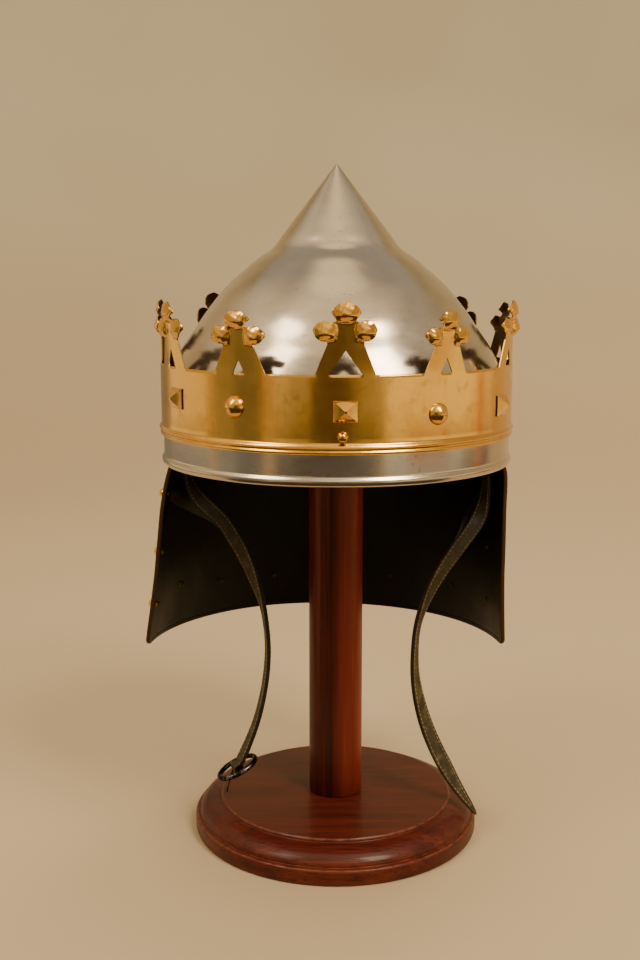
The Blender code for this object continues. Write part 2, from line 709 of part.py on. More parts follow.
def tail_frames(start: Point, start_out: Point, start_along: Point, joint: tuple, joint_along: np.ndarray,
                stations: int) -> list[tuple[np.ndarray, np.ndarray, np.ndarray]]:
    """Frames of one tail, from its rivet on the wall to the fork, bending smoothly between the two."""
    centre, across, grain = joint
    first = np.array(start)
    reach = np.linalg.norm(centre - first)
    lead = first + TAIL_LEAD * reach * np.array(start_along)
    trail = centre - TAIL_TRAIL * reach * joint_along
    frames = []
    for k in range(stations):
        t = k / stations
        u = 1 - t
        spot = u ** 3 * first + 3 * u * u * t * lead + 3 * u * t * t * trail + t ** 3 * centre
        speed = 3 * u * u * (lead - first) + 6 * u * t * (trail - lead) + 3 * t * t * (centre - trail)
        along = unit(speed)
        blend = t * t * (3 - 2 * t)
        face = unit((1 - blend) * -np.array(start_out) + blend * grain)
        width = unit(np.cross(along, face))
        frames.append((spot, width, unit(np.cross(width, along))))
    return frames


def ply_tube(frames: Sequence, low: Sequence[float], high: Sequence[float], widths: Sequence[float],
             sewn_side: int, sewn: Sequence[bool]) -> tuple[list, list]:
    """A flat tube along the frames, from low to high along the grain direction, and as wide as widths.

    It has no face on its sewn side in the stretches where it lies on the other ply."""
    points: list[Point] = []
    for (centre, across, grain), near, far, width in zip(frames, low, high, widths):
        for reach, level in ((-0.5, near), (0.5, near), (0.5, far), (-0.5, far)):
            points.append(tuple(centre + reach * width * across + level * grain))
    faces = [[3, 2, 1, 0]]
    for k in range(len(frames) - 1):
        for j in range(4):
            if j == sewn_side and sewn[k]:
                continue
            a = 4 * k + j
            b = 4 * k + (j + 1) % 4
            faces.append([a, b, b + 4, a + 4])
    end = 4 * (len(frames) - 1)
    faces.append([end, end + 1, end + 2, end + 3])
    return points, faces


def make_strap(name: str, rows: Sequence, side: int, seats: Sequence[tuple], buckle: bool) -> tuple:
    """One two-ply strap: the plies part at the top into two tails, and at a buckle round its bar.

    Returns the strap and the frame of the buckle's bar, or of the tip."""
    main = strap_frames(rows, side, 2)
    joint_along = unit(main[1][0] - main[0][0])
    tails = [tail_frames(seat, out, along, main[0], joint_along, TAIL_STATIONS) for seat, out, along in seats]
    count = len(main)
    widths = [STRAP_WIDTH] * count
    opening = [0.0] * count
    if buckle:
        down = unit(main[-1][0] - main[-2][0])
        _, across, grain = main[-1]
        for distance, part in LOOP_ROWS:
            main.append((main[count - 1][0] + distance * LOOP_REACH * down, across, grain))
            opening.append(part * (BUCKLE_WIRE + LOOP_CLEARANCE))
            widths.append(LOOP_WIDTH)
    else:
        for back, share in enumerate(TIP_SHARES, 1):
            widths[-back] = share * STRAP_WIDTH
    plies = []
    for tail, grain_side in zip(tails, (1, -1)):
        near = [grain_side * share for share in [0.0] * len(tail) + opening]
        far = [grain_side * (share + PLY) for share in [0.0] * len(tail) + opening]
        low = [min(pair) for pair in zip(near, far)]
        high = [max(pair) for pair in zip(near, far)]
        for k in range(len(tail)):
            ease = 1 - k / len(tail)
            low[k] = -0.5 * PLY * ease + low[k] * (1 - ease)
            high[k] = 0.5 * PLY * ease + high[k] * (1 - ease)
        sewn = [False] * len(tail) + [not (a or b) for a, b in zip(opening, opening[1:])]
        sewn_side = 0 if grain_side > 0 else 2
        plies.append(ply_tube(tail + main, low, high, [STRAP_WIDTH] * len(tail) + widths, sewn_side, sewn))
    points, faces = merged(plies)
    mesh = bmesh.new()
    verts = [mesh.verts.new(p) for p in points]
    for face in faces:
        mesh.faces.new([verts[i] for i in face])
    bmesh.ops.remove_doubles(mesh, verts=mesh.verts, dist=1e-4)
    bmesh.ops.triangulate(mesh, faces=mesh.faces)
    mesh.verts.index_update()
    points = [tuple(v.co) for v in mesh.verts]
    faces = [[v.index for v in f.verts] for f in mesh.faces]
    mesh.free()
    strap = add_piece(name, points, faces, STRAP_LEATHER, smooth=False)
    return strap, main, count


def strap_seats(side: int) -> list[tuple[Point, Point, Point]]:
    """Seat, outward direction and leaving direction of a strap's upper and lower tail, each with its lead."""
    lap = math.radians(side * LAP_AZIMUTHS[-1])
    out = (math.sin(lap), math.cos(lap), 0.0)
    radius = GUARD_LAP_RADIUS - GUARD_THICKNESS - 0.5 * PLY - 2.2 * GAP
    upper = (tuple(radius * c for c in out[:2]) + (RIM_Z + LAP_RIVET_RISE,), out, UPPER_LEAD)
    _, azimuth, hang, _ = BORDER_RIVETS[-1 if side > 0 else 0]
    turn = math.radians(azimuth)
    lower_out = (math.sin(turn), math.cos(turn), 0.0)
    seat = guard_point(azimuth, RIM_Z - hang * GUARD_HANG, GUARD_THICKNESS + 0.5 * PLY + 2.2 * GAP)
    inwards, back, down = LOWER_LEAD
    along = (-side * (math.cos(turn) + inwards), math.sin(abs(turn)) * back, down)
    return [upper, (seat, lower_out, along)]


def tube(path: Sequence, radius: float, sides: int, ring: bool, normal: np.ndarray) -> tuple[list, list]:
    """A round bar along a path, closed on itself or capped."""
    points: list[Point] = []
    count = len(path)
    for k in range(count):
        ahead = path[(k + 1) % count] if ring else path[min(k + 1, count - 1)]
        behind = path[k - 1] if ring else path[max(k - 1, 0)]
        along = unit(ahead - behind)
        side = unit(np.cross(along, normal))
        up = np.cross(side, along)
        for j in range(sides):
            turn = 2 * math.pi * (j + 0.5) / sides
            points.append(tuple(path[k] + radius * (math.cos(turn) * side + math.sin(turn) * up)))
    faces = []
    for k in range(count if ring else count - 1):
        for j in range(sides):
            a, b = k * sides + j, k * sides + (j + 1) % sides
            c, d = ((k + 1) % count) * sides + j, ((k + 1) % count) * sides + (j + 1) % sides
            faces.append([a, b, d, c])
    if not ring:
        faces.append(list(range(sides))[::-1])
        faces.append(list(range((count - 1) * sides, count * sides)))
    return points, faces


def make_buckle(bar: np.ndarray, across: np.ndarray) -> None:
    """An oval buckle with a bar across its middle, and a loose prong hanging from the bar."""
    long_axis = np.array(BUCKLE_LIE)
    long_axis = unit(long_axis - np.dot(long_axis, across) * across)
    normal = unit(np.cross(long_axis, across))
    ring = []
    for k in range(BUCKLE_STEPS):
        turn = 2 * math.pi * (k + 0.5) / BUCKLE_STEPS
        ring.append(bar + BUCKLE_HALF_LENGTH * math.cos(turn) * long_axis
                    + BUCKLE_HALF_WIDTH * math.sin(turn) * across)
    frame_points, frame_faces = tube(ring, BUCKLE_WIRE, 8, True, normal)
    frame = add_piece("buckle_frame", frame_points, frame_faces, DARK_IRON)
    ends = [bar - BUCKLE_HALF_WIDTH * across, bar + BUCKLE_HALF_WIDTH * across]
    bar_points, bar_faces = tube(ends, 0.8 * BUCKLE_WIRE, 8, False, normal)
    rod = add_piece("buckle_bar_guide", bar_points, bar_faces, DARK_IRON)
    rod.hide_render = True
    rod.display_type = "WIRE"
    weld = frame.modifiers.new("bar", "BOOLEAN")
    weld.operation = "UNION"
    weld.solver = "EXACT"
    weld.object = rod
    side = bar + (0.5 * LOOP_WIDTH + 2 * GAP + PRONG_RADIUS) * across
    ring_radius = 0.8 * BUCKLE_WIRE + 2 * GAP + PRONG_RADIUS
    hang = np.array(PRONG_HANG)
    hang = unit(hang - np.dot(hang, across) * across)
    sideways = np.cross(across, hang)
    eye = []
    for k in range(10):
        turn = math.radians(-75 + 330 * k / 9)
        eye.append(side + ring_radius * (math.cos(turn) * hang + math.sin(turn) * sideways))
    tip_start = side + (ring_radius + 2 * GAP) * hang
    tail = [tip_start + 0.5 * PRONG_LENGTH * hang, tip_start + PRONG_LENGTH * unit(hang + 0.06 * sideways)]
    path = [eye[-1]] + eye[-2:0:-1] + [side + ring_radius * hang] + tail
    prong_points, prong_faces = tube(path, PRONG_RADIUS, 6, False, across)
    add_piece("buckle_prong", prong_points, prong_faces, DARK_IRON)


def make_stand() -> None:
    """The turned base, and the round post that runs up into the point of the skull and carries it."""
    outline = [(a * BASE_RADIUS, b * BASE_HEIGHT) for a, b in BASE_ROWS]
    socket = [(0.0, BASE_HEIGHT - TENON_DEPTH - GAP), (TENON_RADIUS + GAP, BASE_HEIGHT - TENON_DEPTH - GAP),
              (TENON_RADIUS + GAP, BASE_HEIGHT)]
    points, faces = lathe(socket + outline + [(0.0, 0.0)], SKULL_SEGMENTS)
    add_piece("stand_base", points, faces, WOOD)
    skull_inside = inset(skull_outline(), SKULL_THICKNESS)
    (low_r, low_z), (high_r, high_z) = skull_inside[3], skull_inside[2]
    head = POST_RADIUS - POST_CHAMFER
    seat_z = low_z + (head - low_r) / (high_r - low_r) * (high_z - low_z) - 2 * GAP
    edge_z = low_z + (POST_RADIUS - low_r) / (high_r - low_r) * (high_z - low_z) - 2 * GAP
    profile = [(0.0, seat_z), (head, seat_z), (POST_RADIUS, edge_z), (POST_RADIUS, BASE_HEIGHT + GAP),
               (TENON_RADIUS, BASE_HEIGHT + GAP), (TENON_RADIUS, BASE_HEIGHT - TENON_DEPTH),
               (0.0, BASE_HEIGHT - TENON_DEPTH)]
    points, faces = lathe(profile, POST_SEGMENTS)
    add_piece("stand_post", points, faces, WOOD)


def make_studs() -> list[tuple[list, list]]:
    """The studs of the crown, pyramids and domes, each with a pin through the band. Returns their drills."""
    drills = []
    pin_end = -CROWN_THICKNESS - GAP - STUD_PIN_REACH
    for number, (kind, azimuth, share) in enumerate(STUD_ROWS, 1):
        turn = math.radians(azimuth)
        out = (math.sin(turn), -math.cos(turn), 0.0)
        start = CROWN_RADIUS + GAP
        seat = (start * out[0], start * out[1], CROWN_BOTTOM_Z + share * BAND_HEIGHT)
        pin = [(STUD_PIN_RADIUS, 0.0), (STUD_PIN_RADIUS, pin_end), (0.0, pin_end)]
        if kind == "pyramid":
            corner = 0.5 * PYRAMID_WIDTH * math.sqrt(2)
            points, faces = lathe([(0.0, PYRAMID_HEIGHT), (corner, 0.0)] + pin, 4)
            quarter = math.sqrt(0.5)
            points = [(quarter * (x - y), quarter * (x + y), z) for x, y, z in points]
        else:
            cap = [(0.0, DOME_STUD_HEIGHT), (0.45 * DOME_STUD_RADIUS, 0.86 * DOME_STUD_HEIGHT),
                   (0.82 * DOME_STUD_RADIUS, 0.5 * DOME_STUD_HEIGHT), (DOME_STUD_RADIUS, 0.0)]
            points, faces = lathe(cap + pin, 12)
        add_piece(f"{kind}_stud_{number}", placed(points, seat, out), faces, BRASS, smooth=kind == "dome")
        points, faces = lathe(drill_profile(STUD_PIN_RADIUS, -pin_end), DRILL_SIDES)
        drills.append((placed(points, seat, out), faces))
    return drills


def make_crown_rivets() -> list[tuple[list, list]]:
    """The front and back rivets that hold the crown to the skull. Returns their drills."""
    drills = []
    front = math.radians(CROWN_RIVET_TURN)
    for name, turn in (("crown_rivet_front", front), ("crown_rivet_back", front + math.pi)):
        out = (math.sin(turn), -math.cos(turn), 0.0)
        start = CROWN_RADIUS + GAP
        seat = (start * out[0], start * out[1], CROWN_BOTTOM_Z + CROWN_RIVET_RISE)
        grip = start - (WALL_RADIUS - SKULL_THICKNESS) + GAP
        points, faces = lathe(rivet_profile(grip), RIVET_SIDES)
        add_piece(name, placed(points, seat, out), faces, BRASS)
        points, faces = lathe(drill_profile(SHANK_RADIUS, grip + SHANK_PROUD), RIVET_SIDES)
        drills.append((placed(points, seat, out), faces))
    return drills


def build() -> None:
    """Builds every piece."""
    clear_scene()
    skull = make_skull()
    crown = make_crown()
    guard = make_guard()
    stud_drills = make_studs()
    crown_drills = make_crown_rivets()
    lap_drills = []
    leather_drills = []
    for name, seat, out, grip in guard_rivet_frames():
        points, faces = lathe(rivet_profile(grip), RIVET_SIDES)
        add_piece(name, placed(points, seat, out), faces, BRASS)
        points, faces = lathe(drill_profile(SHANK_RADIUS, grip + SHANK_PROUD), DRILL_SIDES)
        drill = (placed(points, seat, out), faces)
        leather_drills.append(drill)
        if name.startswith("lap"):
            lap_drills.append(drill)
    buckled, main, count = make_strap("buckle_strap", BUCKLE_STRAP_ROWS, -1, strap_seats(-1), True)
    free, _, _ = make_strap("free_strap", FREE_STRAP_ROWS, 1, strap_seats(1), False)
    centre, across, _ = main[count + BAR_ROW]
    make_buckle(centre, across)
    make_stand()
    cut(crown, add_cutter("crown_drills", stud_drills + crown_drills))
    cut(skull, add_cutter("skull_drills", lap_drills + crown_drills))
    leather_cutter = add_cutter("leather_drills", leather_drills)
    for target in (guard, buckled, free):
        cut(target, leather_cutter)


build()
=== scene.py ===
"""Dresses a pointed steel helmet with a brass crown, on its turned wooden stand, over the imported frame.

Sizes are in millimetres until a mesh is made. +Z is up and the helmet looks to -Y."""

import logging
import math
from collections.abc import Sequence
from dataclasses import dataclass, field
from enum import Enum

import bmesh
import bpy
import numpy as np
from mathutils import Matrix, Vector
from mathutils.geometry import delaunay_2d_cdt


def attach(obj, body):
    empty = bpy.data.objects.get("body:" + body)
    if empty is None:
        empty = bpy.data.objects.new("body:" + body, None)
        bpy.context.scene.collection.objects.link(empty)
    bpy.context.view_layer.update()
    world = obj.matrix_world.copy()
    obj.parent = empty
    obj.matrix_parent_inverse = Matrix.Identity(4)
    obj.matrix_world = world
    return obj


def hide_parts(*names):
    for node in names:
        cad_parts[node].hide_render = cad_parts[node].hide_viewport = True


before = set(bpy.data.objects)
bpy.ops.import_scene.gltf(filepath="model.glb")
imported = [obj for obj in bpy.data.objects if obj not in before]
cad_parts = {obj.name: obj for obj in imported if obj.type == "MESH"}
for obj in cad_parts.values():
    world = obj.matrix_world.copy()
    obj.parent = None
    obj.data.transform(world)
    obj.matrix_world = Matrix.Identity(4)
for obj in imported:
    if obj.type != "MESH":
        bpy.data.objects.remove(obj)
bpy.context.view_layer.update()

LOG = logging.getLogger("helmet")
MM = 0.001
SEED = 11
NOISE_CELL = 1 / 1.6                # a noise of scale 1 has features 1.6 units apart
MERGE = 2e-6                        # points nearer than this, in metres, become one

Point = tuple[float, float, float]
Flat = tuple[float, float]
Station = tuple[np.ndarray, np.ndarray, np.ndarray]


class Slot(Enum):
    """The record's material slots."""

    STEEL = "spun_steel"
    BRASS = "polished_brass"
    GUARD = "black_leather"
    STRAP = "strap_leather"
    IRON = "blackened_iron"
    WOOD = "stained_wood"


class Grain(Enum):
    """Which way the wood's grain runs, as the stretch of its pattern along X, Y and Z."""

    UPRIGHT = (1.0, 1.0, 0.035)
    ACROSS = (0.05, 1.0, 1.0)


def linear(colour: str) -> tuple[float, float, float, float]:
    """Turns an sRGB hex colour into linear values.

    Args:
        colour: six hex digits with a leading sign, such as "#C0A080".

    Returns:
        Linear red, green and blue, and alpha 1.
    """
    parts = [int(colour[i:i + 2], 16) / 255 for i in (1, 3, 5)]
    red, green, blue = (c / 12.92 if c <= 0.04045 else ((c + 0.055) / 1.055) ** 2.4 for c in parts)
    return (red, green, blue, 1.0)


def add(tree: bpy.types.NodeTree, kind: str, sockets: dict | None = None, stops: Sequence | None = None,
        **settings: object) -> bpy.types.Node:
    """Adds a node.

    Args:
        tree: the tree that takes the node.
        kind: the node's type.
        sockets: input name or number to a value, or to the output socket that feeds it.
        stops: positions and colours, where the node is a colour ramp.
        settings: the node's own properties.

    Returns:
        The node.
    """
    node = tree.nodes.new(kind)
    for name, value in settings.items():
        setattr(node, name, value)
    for key, value in (sockets or {}).items():
        if isinstance(value, bpy.types.NodeSocket):
            tree.links.new(value, node.inputs[key])
        else:
            node.inputs[key].default_value = value
    for number, (place, colour) in enumerate(stops or ()):
        ramp = node.color_ramp.elements
        stop = ramp[number] if number < 2 else ramp.new(place)
        stop.position = place
        stop.color = colour if len(colour) == 4 else (*colour, 1.0)
    return node


def noise_scale(size_mm: float) -> float:
    """The scale at which a noise's largest features are about size_mm across."""
    return NOISE_CELL / (size_mm * MM)


@dataclass
class Shading:
    """A material in the making: its tree, its shader and the object coordinates in metres."""

    name: str
    material: bpy.types.Material = field(init=False)
    tree: bpy.types.NodeTree = field(init=False)
    shader: bpy.types.Node = field(init=False)
    place: bpy.types.NodeSocket = field(init=False)

    def __post_init__(self) -> None:
        """Starts the material."""
        self.material = bpy.data.materials.new(self.name)
        self.material.use_nodes = True
        self.tree = self.material.node_tree
        self.shader = self.tree.nodes["Principled BSDF"]
        self.place = add(self.tree, "ShaderNodeTexCoord").outputs["Object"]

    def set(self, **values: object) -> None:
        """Sets or links the shader's sockets, with _ for the spaces in their names."""
        for name, value in values.items():
            socket = self.shader.inputs[name.replace("_", " ")]
            if isinstance(value, bpy.types.NodeSocket):
                self.tree.links.new(value, socket)
            else:
                socket.default_value = value

    def axes(self) -> Sequence[bpy.types.NodeSocket]:
        """The object coordinates X, Y and Z, each by itself."""
        return add(self.tree, "ShaderNodeSeparateXYZ", {0: self.place}).outputs

    def noise(self, size_mm: float, stretch: Point = (1.0, 1.0, 1.0), detail: float = 3.0,
              rough: float = 0.55, shift: Point = (0.0, 0.0, 0.0)) -> bpy.types.NodeSocket:
        """A noise whose features are about size_mm across, stretched along the axes.

        Args:
            size_mm: the size of its largest features.
            stretch: multiplies the pattern's frequency along X, Y and Z.
            detail: how many finer layers it has.
            rough: how strong the finer layers are.
            shift: moves the pattern, in metres.

        Returns:
            The noise's value, from 0 to 1.
        """
        moved = add(self.tree, "ShaderNodeMapping",
                    {"Vector": self.place, "Scale": stretch, "Location": shift}).outputs[0]
        return add(self.tree, "ShaderNodeTexNoise", {"Vector": moved, "Scale": noise_scale(size_mm),
                                                     "Detail": detail, "Roughness": rough}).outputs[0]

    def blend(self, share: object, first: object, second: object) -> bpy.types.NodeSocket:
        """Mixes two colours by a share."""
        mixed = add(self.tree, "ShaderNodeMix", {0: share, 6: first, 7: second}, data_type="RGBA")
        return mixed.outputs[2]

    def ramp(self, value: bpy.types.NodeSocket, *stops: tuple) -> bpy.types.NodeSocket:
        """Turns a value into a colour through stops of position and colour."""
        return add(self.tree, "ShaderNodeValToRGB", {0: value}, stops=stops).outputs[0]

    def spread(self, value: bpy.types.NodeSocket, low: float, high: float, to_low: float,
               to_high: float) -> bpy.types.NodeSocket:
        """Maps low..high of a value to to_low..to_high, clamped."""
        made = add(self.tree, "ShaderNodeMapRange", {"Value": value, "From Min": low, "From Max": high,
                                                     "To Min": to_low, "To Max": to_high})
        return made.outputs[0]

    def sums(self, operation: str, first: object, second: object = 0.0) -> bpy.types.NodeSocket:
        """One step of arithmetic."""
        return add(self.tree, "ShaderNodeMath", {0: first, 1: second}, operation=operation).outputs[0]

    def attribute(self, name: str) -> bpy.types.NodeSocket:
        """The value that a mesh carries under this name."""
        return add(self.tree, "ShaderNodeAttribute", attribute_name=name).outputs["Fac"]

    def relief(self, height: bpy.types.NodeSocket, depth_mm: float,
               under: bpy.types.NodeSocket | None = None) -> bpy.types.NodeSocket:
        """Makes a bump normal from a height of 0 to 1 and its real depth."""
        sockets = {"Height": height, "Distance": depth_mm * MM, "Strength": 1.0}
        if under is not None:
            sockets["Normal"] = under
        return add(self.tree, "ShaderNodeBump", sockets).outputs[0]


@dataclass(frozen=True)
class SpunSteel:
    """Mild steel sheet, spun on a lathe and rubbed bright along its turned lines.

    It gives the eye a soft satin shine that draws out into streaks down from the point."""

    bright: str = "#D3C9BA"
    dull: str = "#B5A590"
    specked: str = "#6E5F50"
    line_mm: float = 0.7            # real lines are under 0.2 mm: drawn coarse enough to show
    tip_z: float = 447.2

    def make(self) -> bpy.types.Material:
        """Builds the material."""
        s = Shading("spun_steel_sheet")
        from_tip = add(s.tree, "ShaderNodeVectorMath", {0: s.place, 1: (0.0, 0.0, self.tip_z * MM)},
                       operation="DISTANCE").outputs["Value"]
        lines = add(s.tree, "ShaderNodeTexNoise", {"W": from_tip, "Scale": noise_scale(self.line_mm),
                                                   "Detail": 2.0}, noise_dimensions="1D").outputs[0]
        patches = s.noise(34.0, detail=4.0)
        smears = s.noise(9.0, (1.0, 1.0, 2.4), detail=3.0)
        specks = s.noise(1.6, detail=1.0)
        tone = s.blend(s.spread(patches, 0.38, 0.66, 0.0, 0.5), linear(self.bright), linear(self.dull))
        spots = s.spread(specks, 0.70, 0.76, 0.0, 0.35)
        tone = s.blend(spots, tone, linear(self.specked))
        gloss = s.sums("ADD", s.spread(smears, 0.35, 0.7, 0.13, 0.19), s.sums("MULTIPLY", lines, 0.05))
        fine = s.relief(lines, 0.008)
        waves = s.relief(s.noise(70.0, detail=0.0), 0.08, fine)
        tangent = add(s.tree, "ShaderNodeTangent", direction_type="RADIAL", axis="Z").outputs[0]
        s.set(Base_Color=tone, Metallic=1.0, Roughness=gloss, Anisotropic=0.5, Tangent=tangent, Normal=waves)
        return s.material


@dataclass(frozen=True)
class PolishedBrass:
    """Yellow brass sheet, buffed but handled since.

    It gives a warm mirror with a slight haze, orange tarnish in patches and fine rubbing marks. At backs and
    cut ends, where the mesh carries its mark, it is painted brown and dull: part tarnish, part painted shade."""

    gold: str = "#EBB85B"
    tarnish: str = "#B8742E"
    printed: str = "#8E5A2C"
    # brown of tarnish and painted shade, for backs and hidden ends
    brown: str = "#4C351C"
    haze: float = 0.12

    def make(self) -> bpy.types.Material:
        """Builds the material."""
        s = Shading("polished_brass_sheet")
        patches = s.noise(22.0, detail=4.0)
        prints = s.noise(5.0, detail=3.0, shift=(0.3, 0.1, 0.2))
        rubs = s.noise(0.9, (1.0, 1.0, 0.12), detail=2.0)
        aged = s.attribute("aged")
        tone = s.blend(s.spread(patches, 0.5, 0.74, 0.0, 0.4), linear(self.gold), linear(self.tarnish))
        tone = s.blend(s.spread(prints, 0.6, 0.72, 0.0, 0.22), tone, linear(self.printed))
        # painted shade and tarnish: marked backs and hidden ends turn brown
        tone = s.blend(aged, tone, linear(self.brown))
        gloss = s.sums("ADD", s.spread(prints, 0.35, 0.7, self.haze, self.haze + 0.08),
                       s.spread(rubs, 0.3, 0.7, 0.0, 0.04))
        gloss = s.sums("ADD", gloss, s.sums("MULTIPLY", aged, 0.3))
        fine = s.relief(rubs, 0.006)
        waves = s.relief(s.noise(26.0, detail=1.0), 0.14, fine)
        tangent = add(s.tree, "ShaderNodeTangent", direction_type="RADIAL", axis="Z").outputs[0]
        s.set(Base_Color=tone, Metallic=1.0, Roughness=gloss, Anisotropic=0.4, Tangent=tangent, Normal=waves)
        return s.material


@dataclass(frozen=True)
class BlackLeather:
    """Vegetable-tanned hide, dyed black and waxed, its cut edges left brown.

    It looks almost black, with a low sheen over a fine pebble grain and a brown line along each edge."""

    dye: str = "#0C0B09"
    worn: str = "#181611"
    cut: str = "#3E2616"

    def make(self) -> bpy.types.Material:
        """Builds the material."""
        s = Shading("black_waxed_leather")
        cells = add(s.tree, "ShaderNodeTexVoronoi", {"Vector": s.place, "Scale": 1000 / 1.3},
                    feature="SMOOTH_F1").outputs[0]
        creases = s.noise(14.0, (1.0, 1.0, 0.4), detail=5.0)
        tone = s.blend(s.spread(creases, 0.45, 0.75, 0.0, 1.0), linear(self.dye), linear(self.worn))
        tone = s.blend(s.attribute("cut_edge"), tone, linear(self.cut))
        gloss = s.spread(creases, 0.35, 0.7, 0.40, 0.56)
        grain = s.relief(cells, 0.10)
        folds = s.relief(s.noise(30.0, detail=2.0), 0.5, grain)
        s.set(Base_Color=tone, Roughness=gloss, Normal=folds, Specular_IOR_Level=0.22)
        return s.material


@dataclass(frozen=True)
class StrapLeather:
    """Thin olive-brown hide, dried and rubbed, with dark burnished edges and painted shade near the helmet.

    It looks dull and fibrous, lighter where it has been rubbed."""

    face: str = "#352D1A"
    rubbed: str = "#5E5233"
    cracked: str = "#7A6C48"
    edge: str = "#241A0F"
    # painted shade: the dark tone it takes on under the helmet
    helmet_shade_tone: str = "#15120C"
    helmet_shade_from: float = 140.0     # heights between which painted shade darkens it
    helmet_shade_to: float = 210.0

    def make(self) -> bpy.types.Material:
        """Builds the material."""
        s = Shading("dry_olive_leather")
        fibres = s.noise(2.2, (1.0, 1.0, 0.30), detail=4.0)
        patches = s.noise(16.0, detail=2.0)
        cracks = s.noise(3.0, detail=3.0, shift=(0.1, 0.4, 0.2))
        share = s.sums("MULTIPLY", s.spread(fibres, 0.42, 0.70, 0.0, 1.0),
                       s.spread(patches, 0.3, 0.7, 0.3, 0.9))
        # painted shade: darker towards the helmet above, where little light reaches
        helmet_shade = s.spread(s.axes()[2], self.helmet_shade_from * MM, self.helmet_shade_to * MM, 0.0, 0.75)
        tone = s.blend(share, linear(self.face), linear(self.rubbed))
        tone = s.blend(s.spread(cracks, 0.52, 0.66, 0.0, 0.32), tone, linear(self.cracked))
        tone = s.blend(s.attribute("cut_edge"), tone, linear(self.edge))
        tone = s.blend(helmet_shade, tone, linear(self.helmet_shade_tone))
        gloss = s.spread(fibres, 0.3, 0.7, 0.50, 0.72)
        s.set(Base_Color=tone, Roughness=gloss, Normal=s.relief(fibres, 0.16), Specular_IOR_Level=0.3)
        return s.material


@dataclass(frozen=True)
class WaxedThread:
    """Linen thread, waxed and grimy. It shows as dull straw-coloured dashes, with painted shade darkening it
    near the helmet."""

    straw: str = "#9C8D66"
    grimy: str = "#5E5338"
    helmet_shade_tone: str = "#2A2418"
    helmet_shade_from: float = 140.0
    helmet_shade_to: float = 210.0

    def make(self) -> bpy.types.Material:
        """Builds the material."""
        s = Shading("waxed_linen_thread")
        grime = s.noise(6.0)
        # painted shade: darker towards the helmet above
        helmet_shade = s.spread(s.axes()[2], self.helmet_shade_from * MM, self.helmet_shade_to * MM, 0.0, 0.6)
        tone = s.blend(s.spread(grime, 0.4, 0.7, 0.0, 0.8), linear(self.straw), linear(self.grimy))
        tone = s.blend(helmet_shade, tone, linear(self.helmet_shade_tone))
        s.set(Base_Color=tone, Roughness=0.7, Normal=s.relief(s.noise(0.5), 0.05))
        return s.material


@dataclass(frozen=True)
class BlackenedIron:
    """Iron wire, heated and oiled black, rubbed bright on its high places. It gives a dark glossy
    line."""

    black: str = "#23211F"
    bright: str = "#8F8A84"

    def make(self) -> bpy.types.Material:
        """Builds the material."""
        s = Shading("blackened_iron_wire")
        rub = s.noise(3.2, detail=3.0)
        tone = s.blend(s.spread(rub, 0.52, 0.68, 0.0, 0.9), linear(self.black), linear(self.bright))
        s.set(Base_Color=tone, Metallic=1.0, Roughness=s.spread(rub, 0.3, 0.7, 0.38, 0.22),
              Normal=s.relief(s.noise(1.5), 0.06))
        return s.material


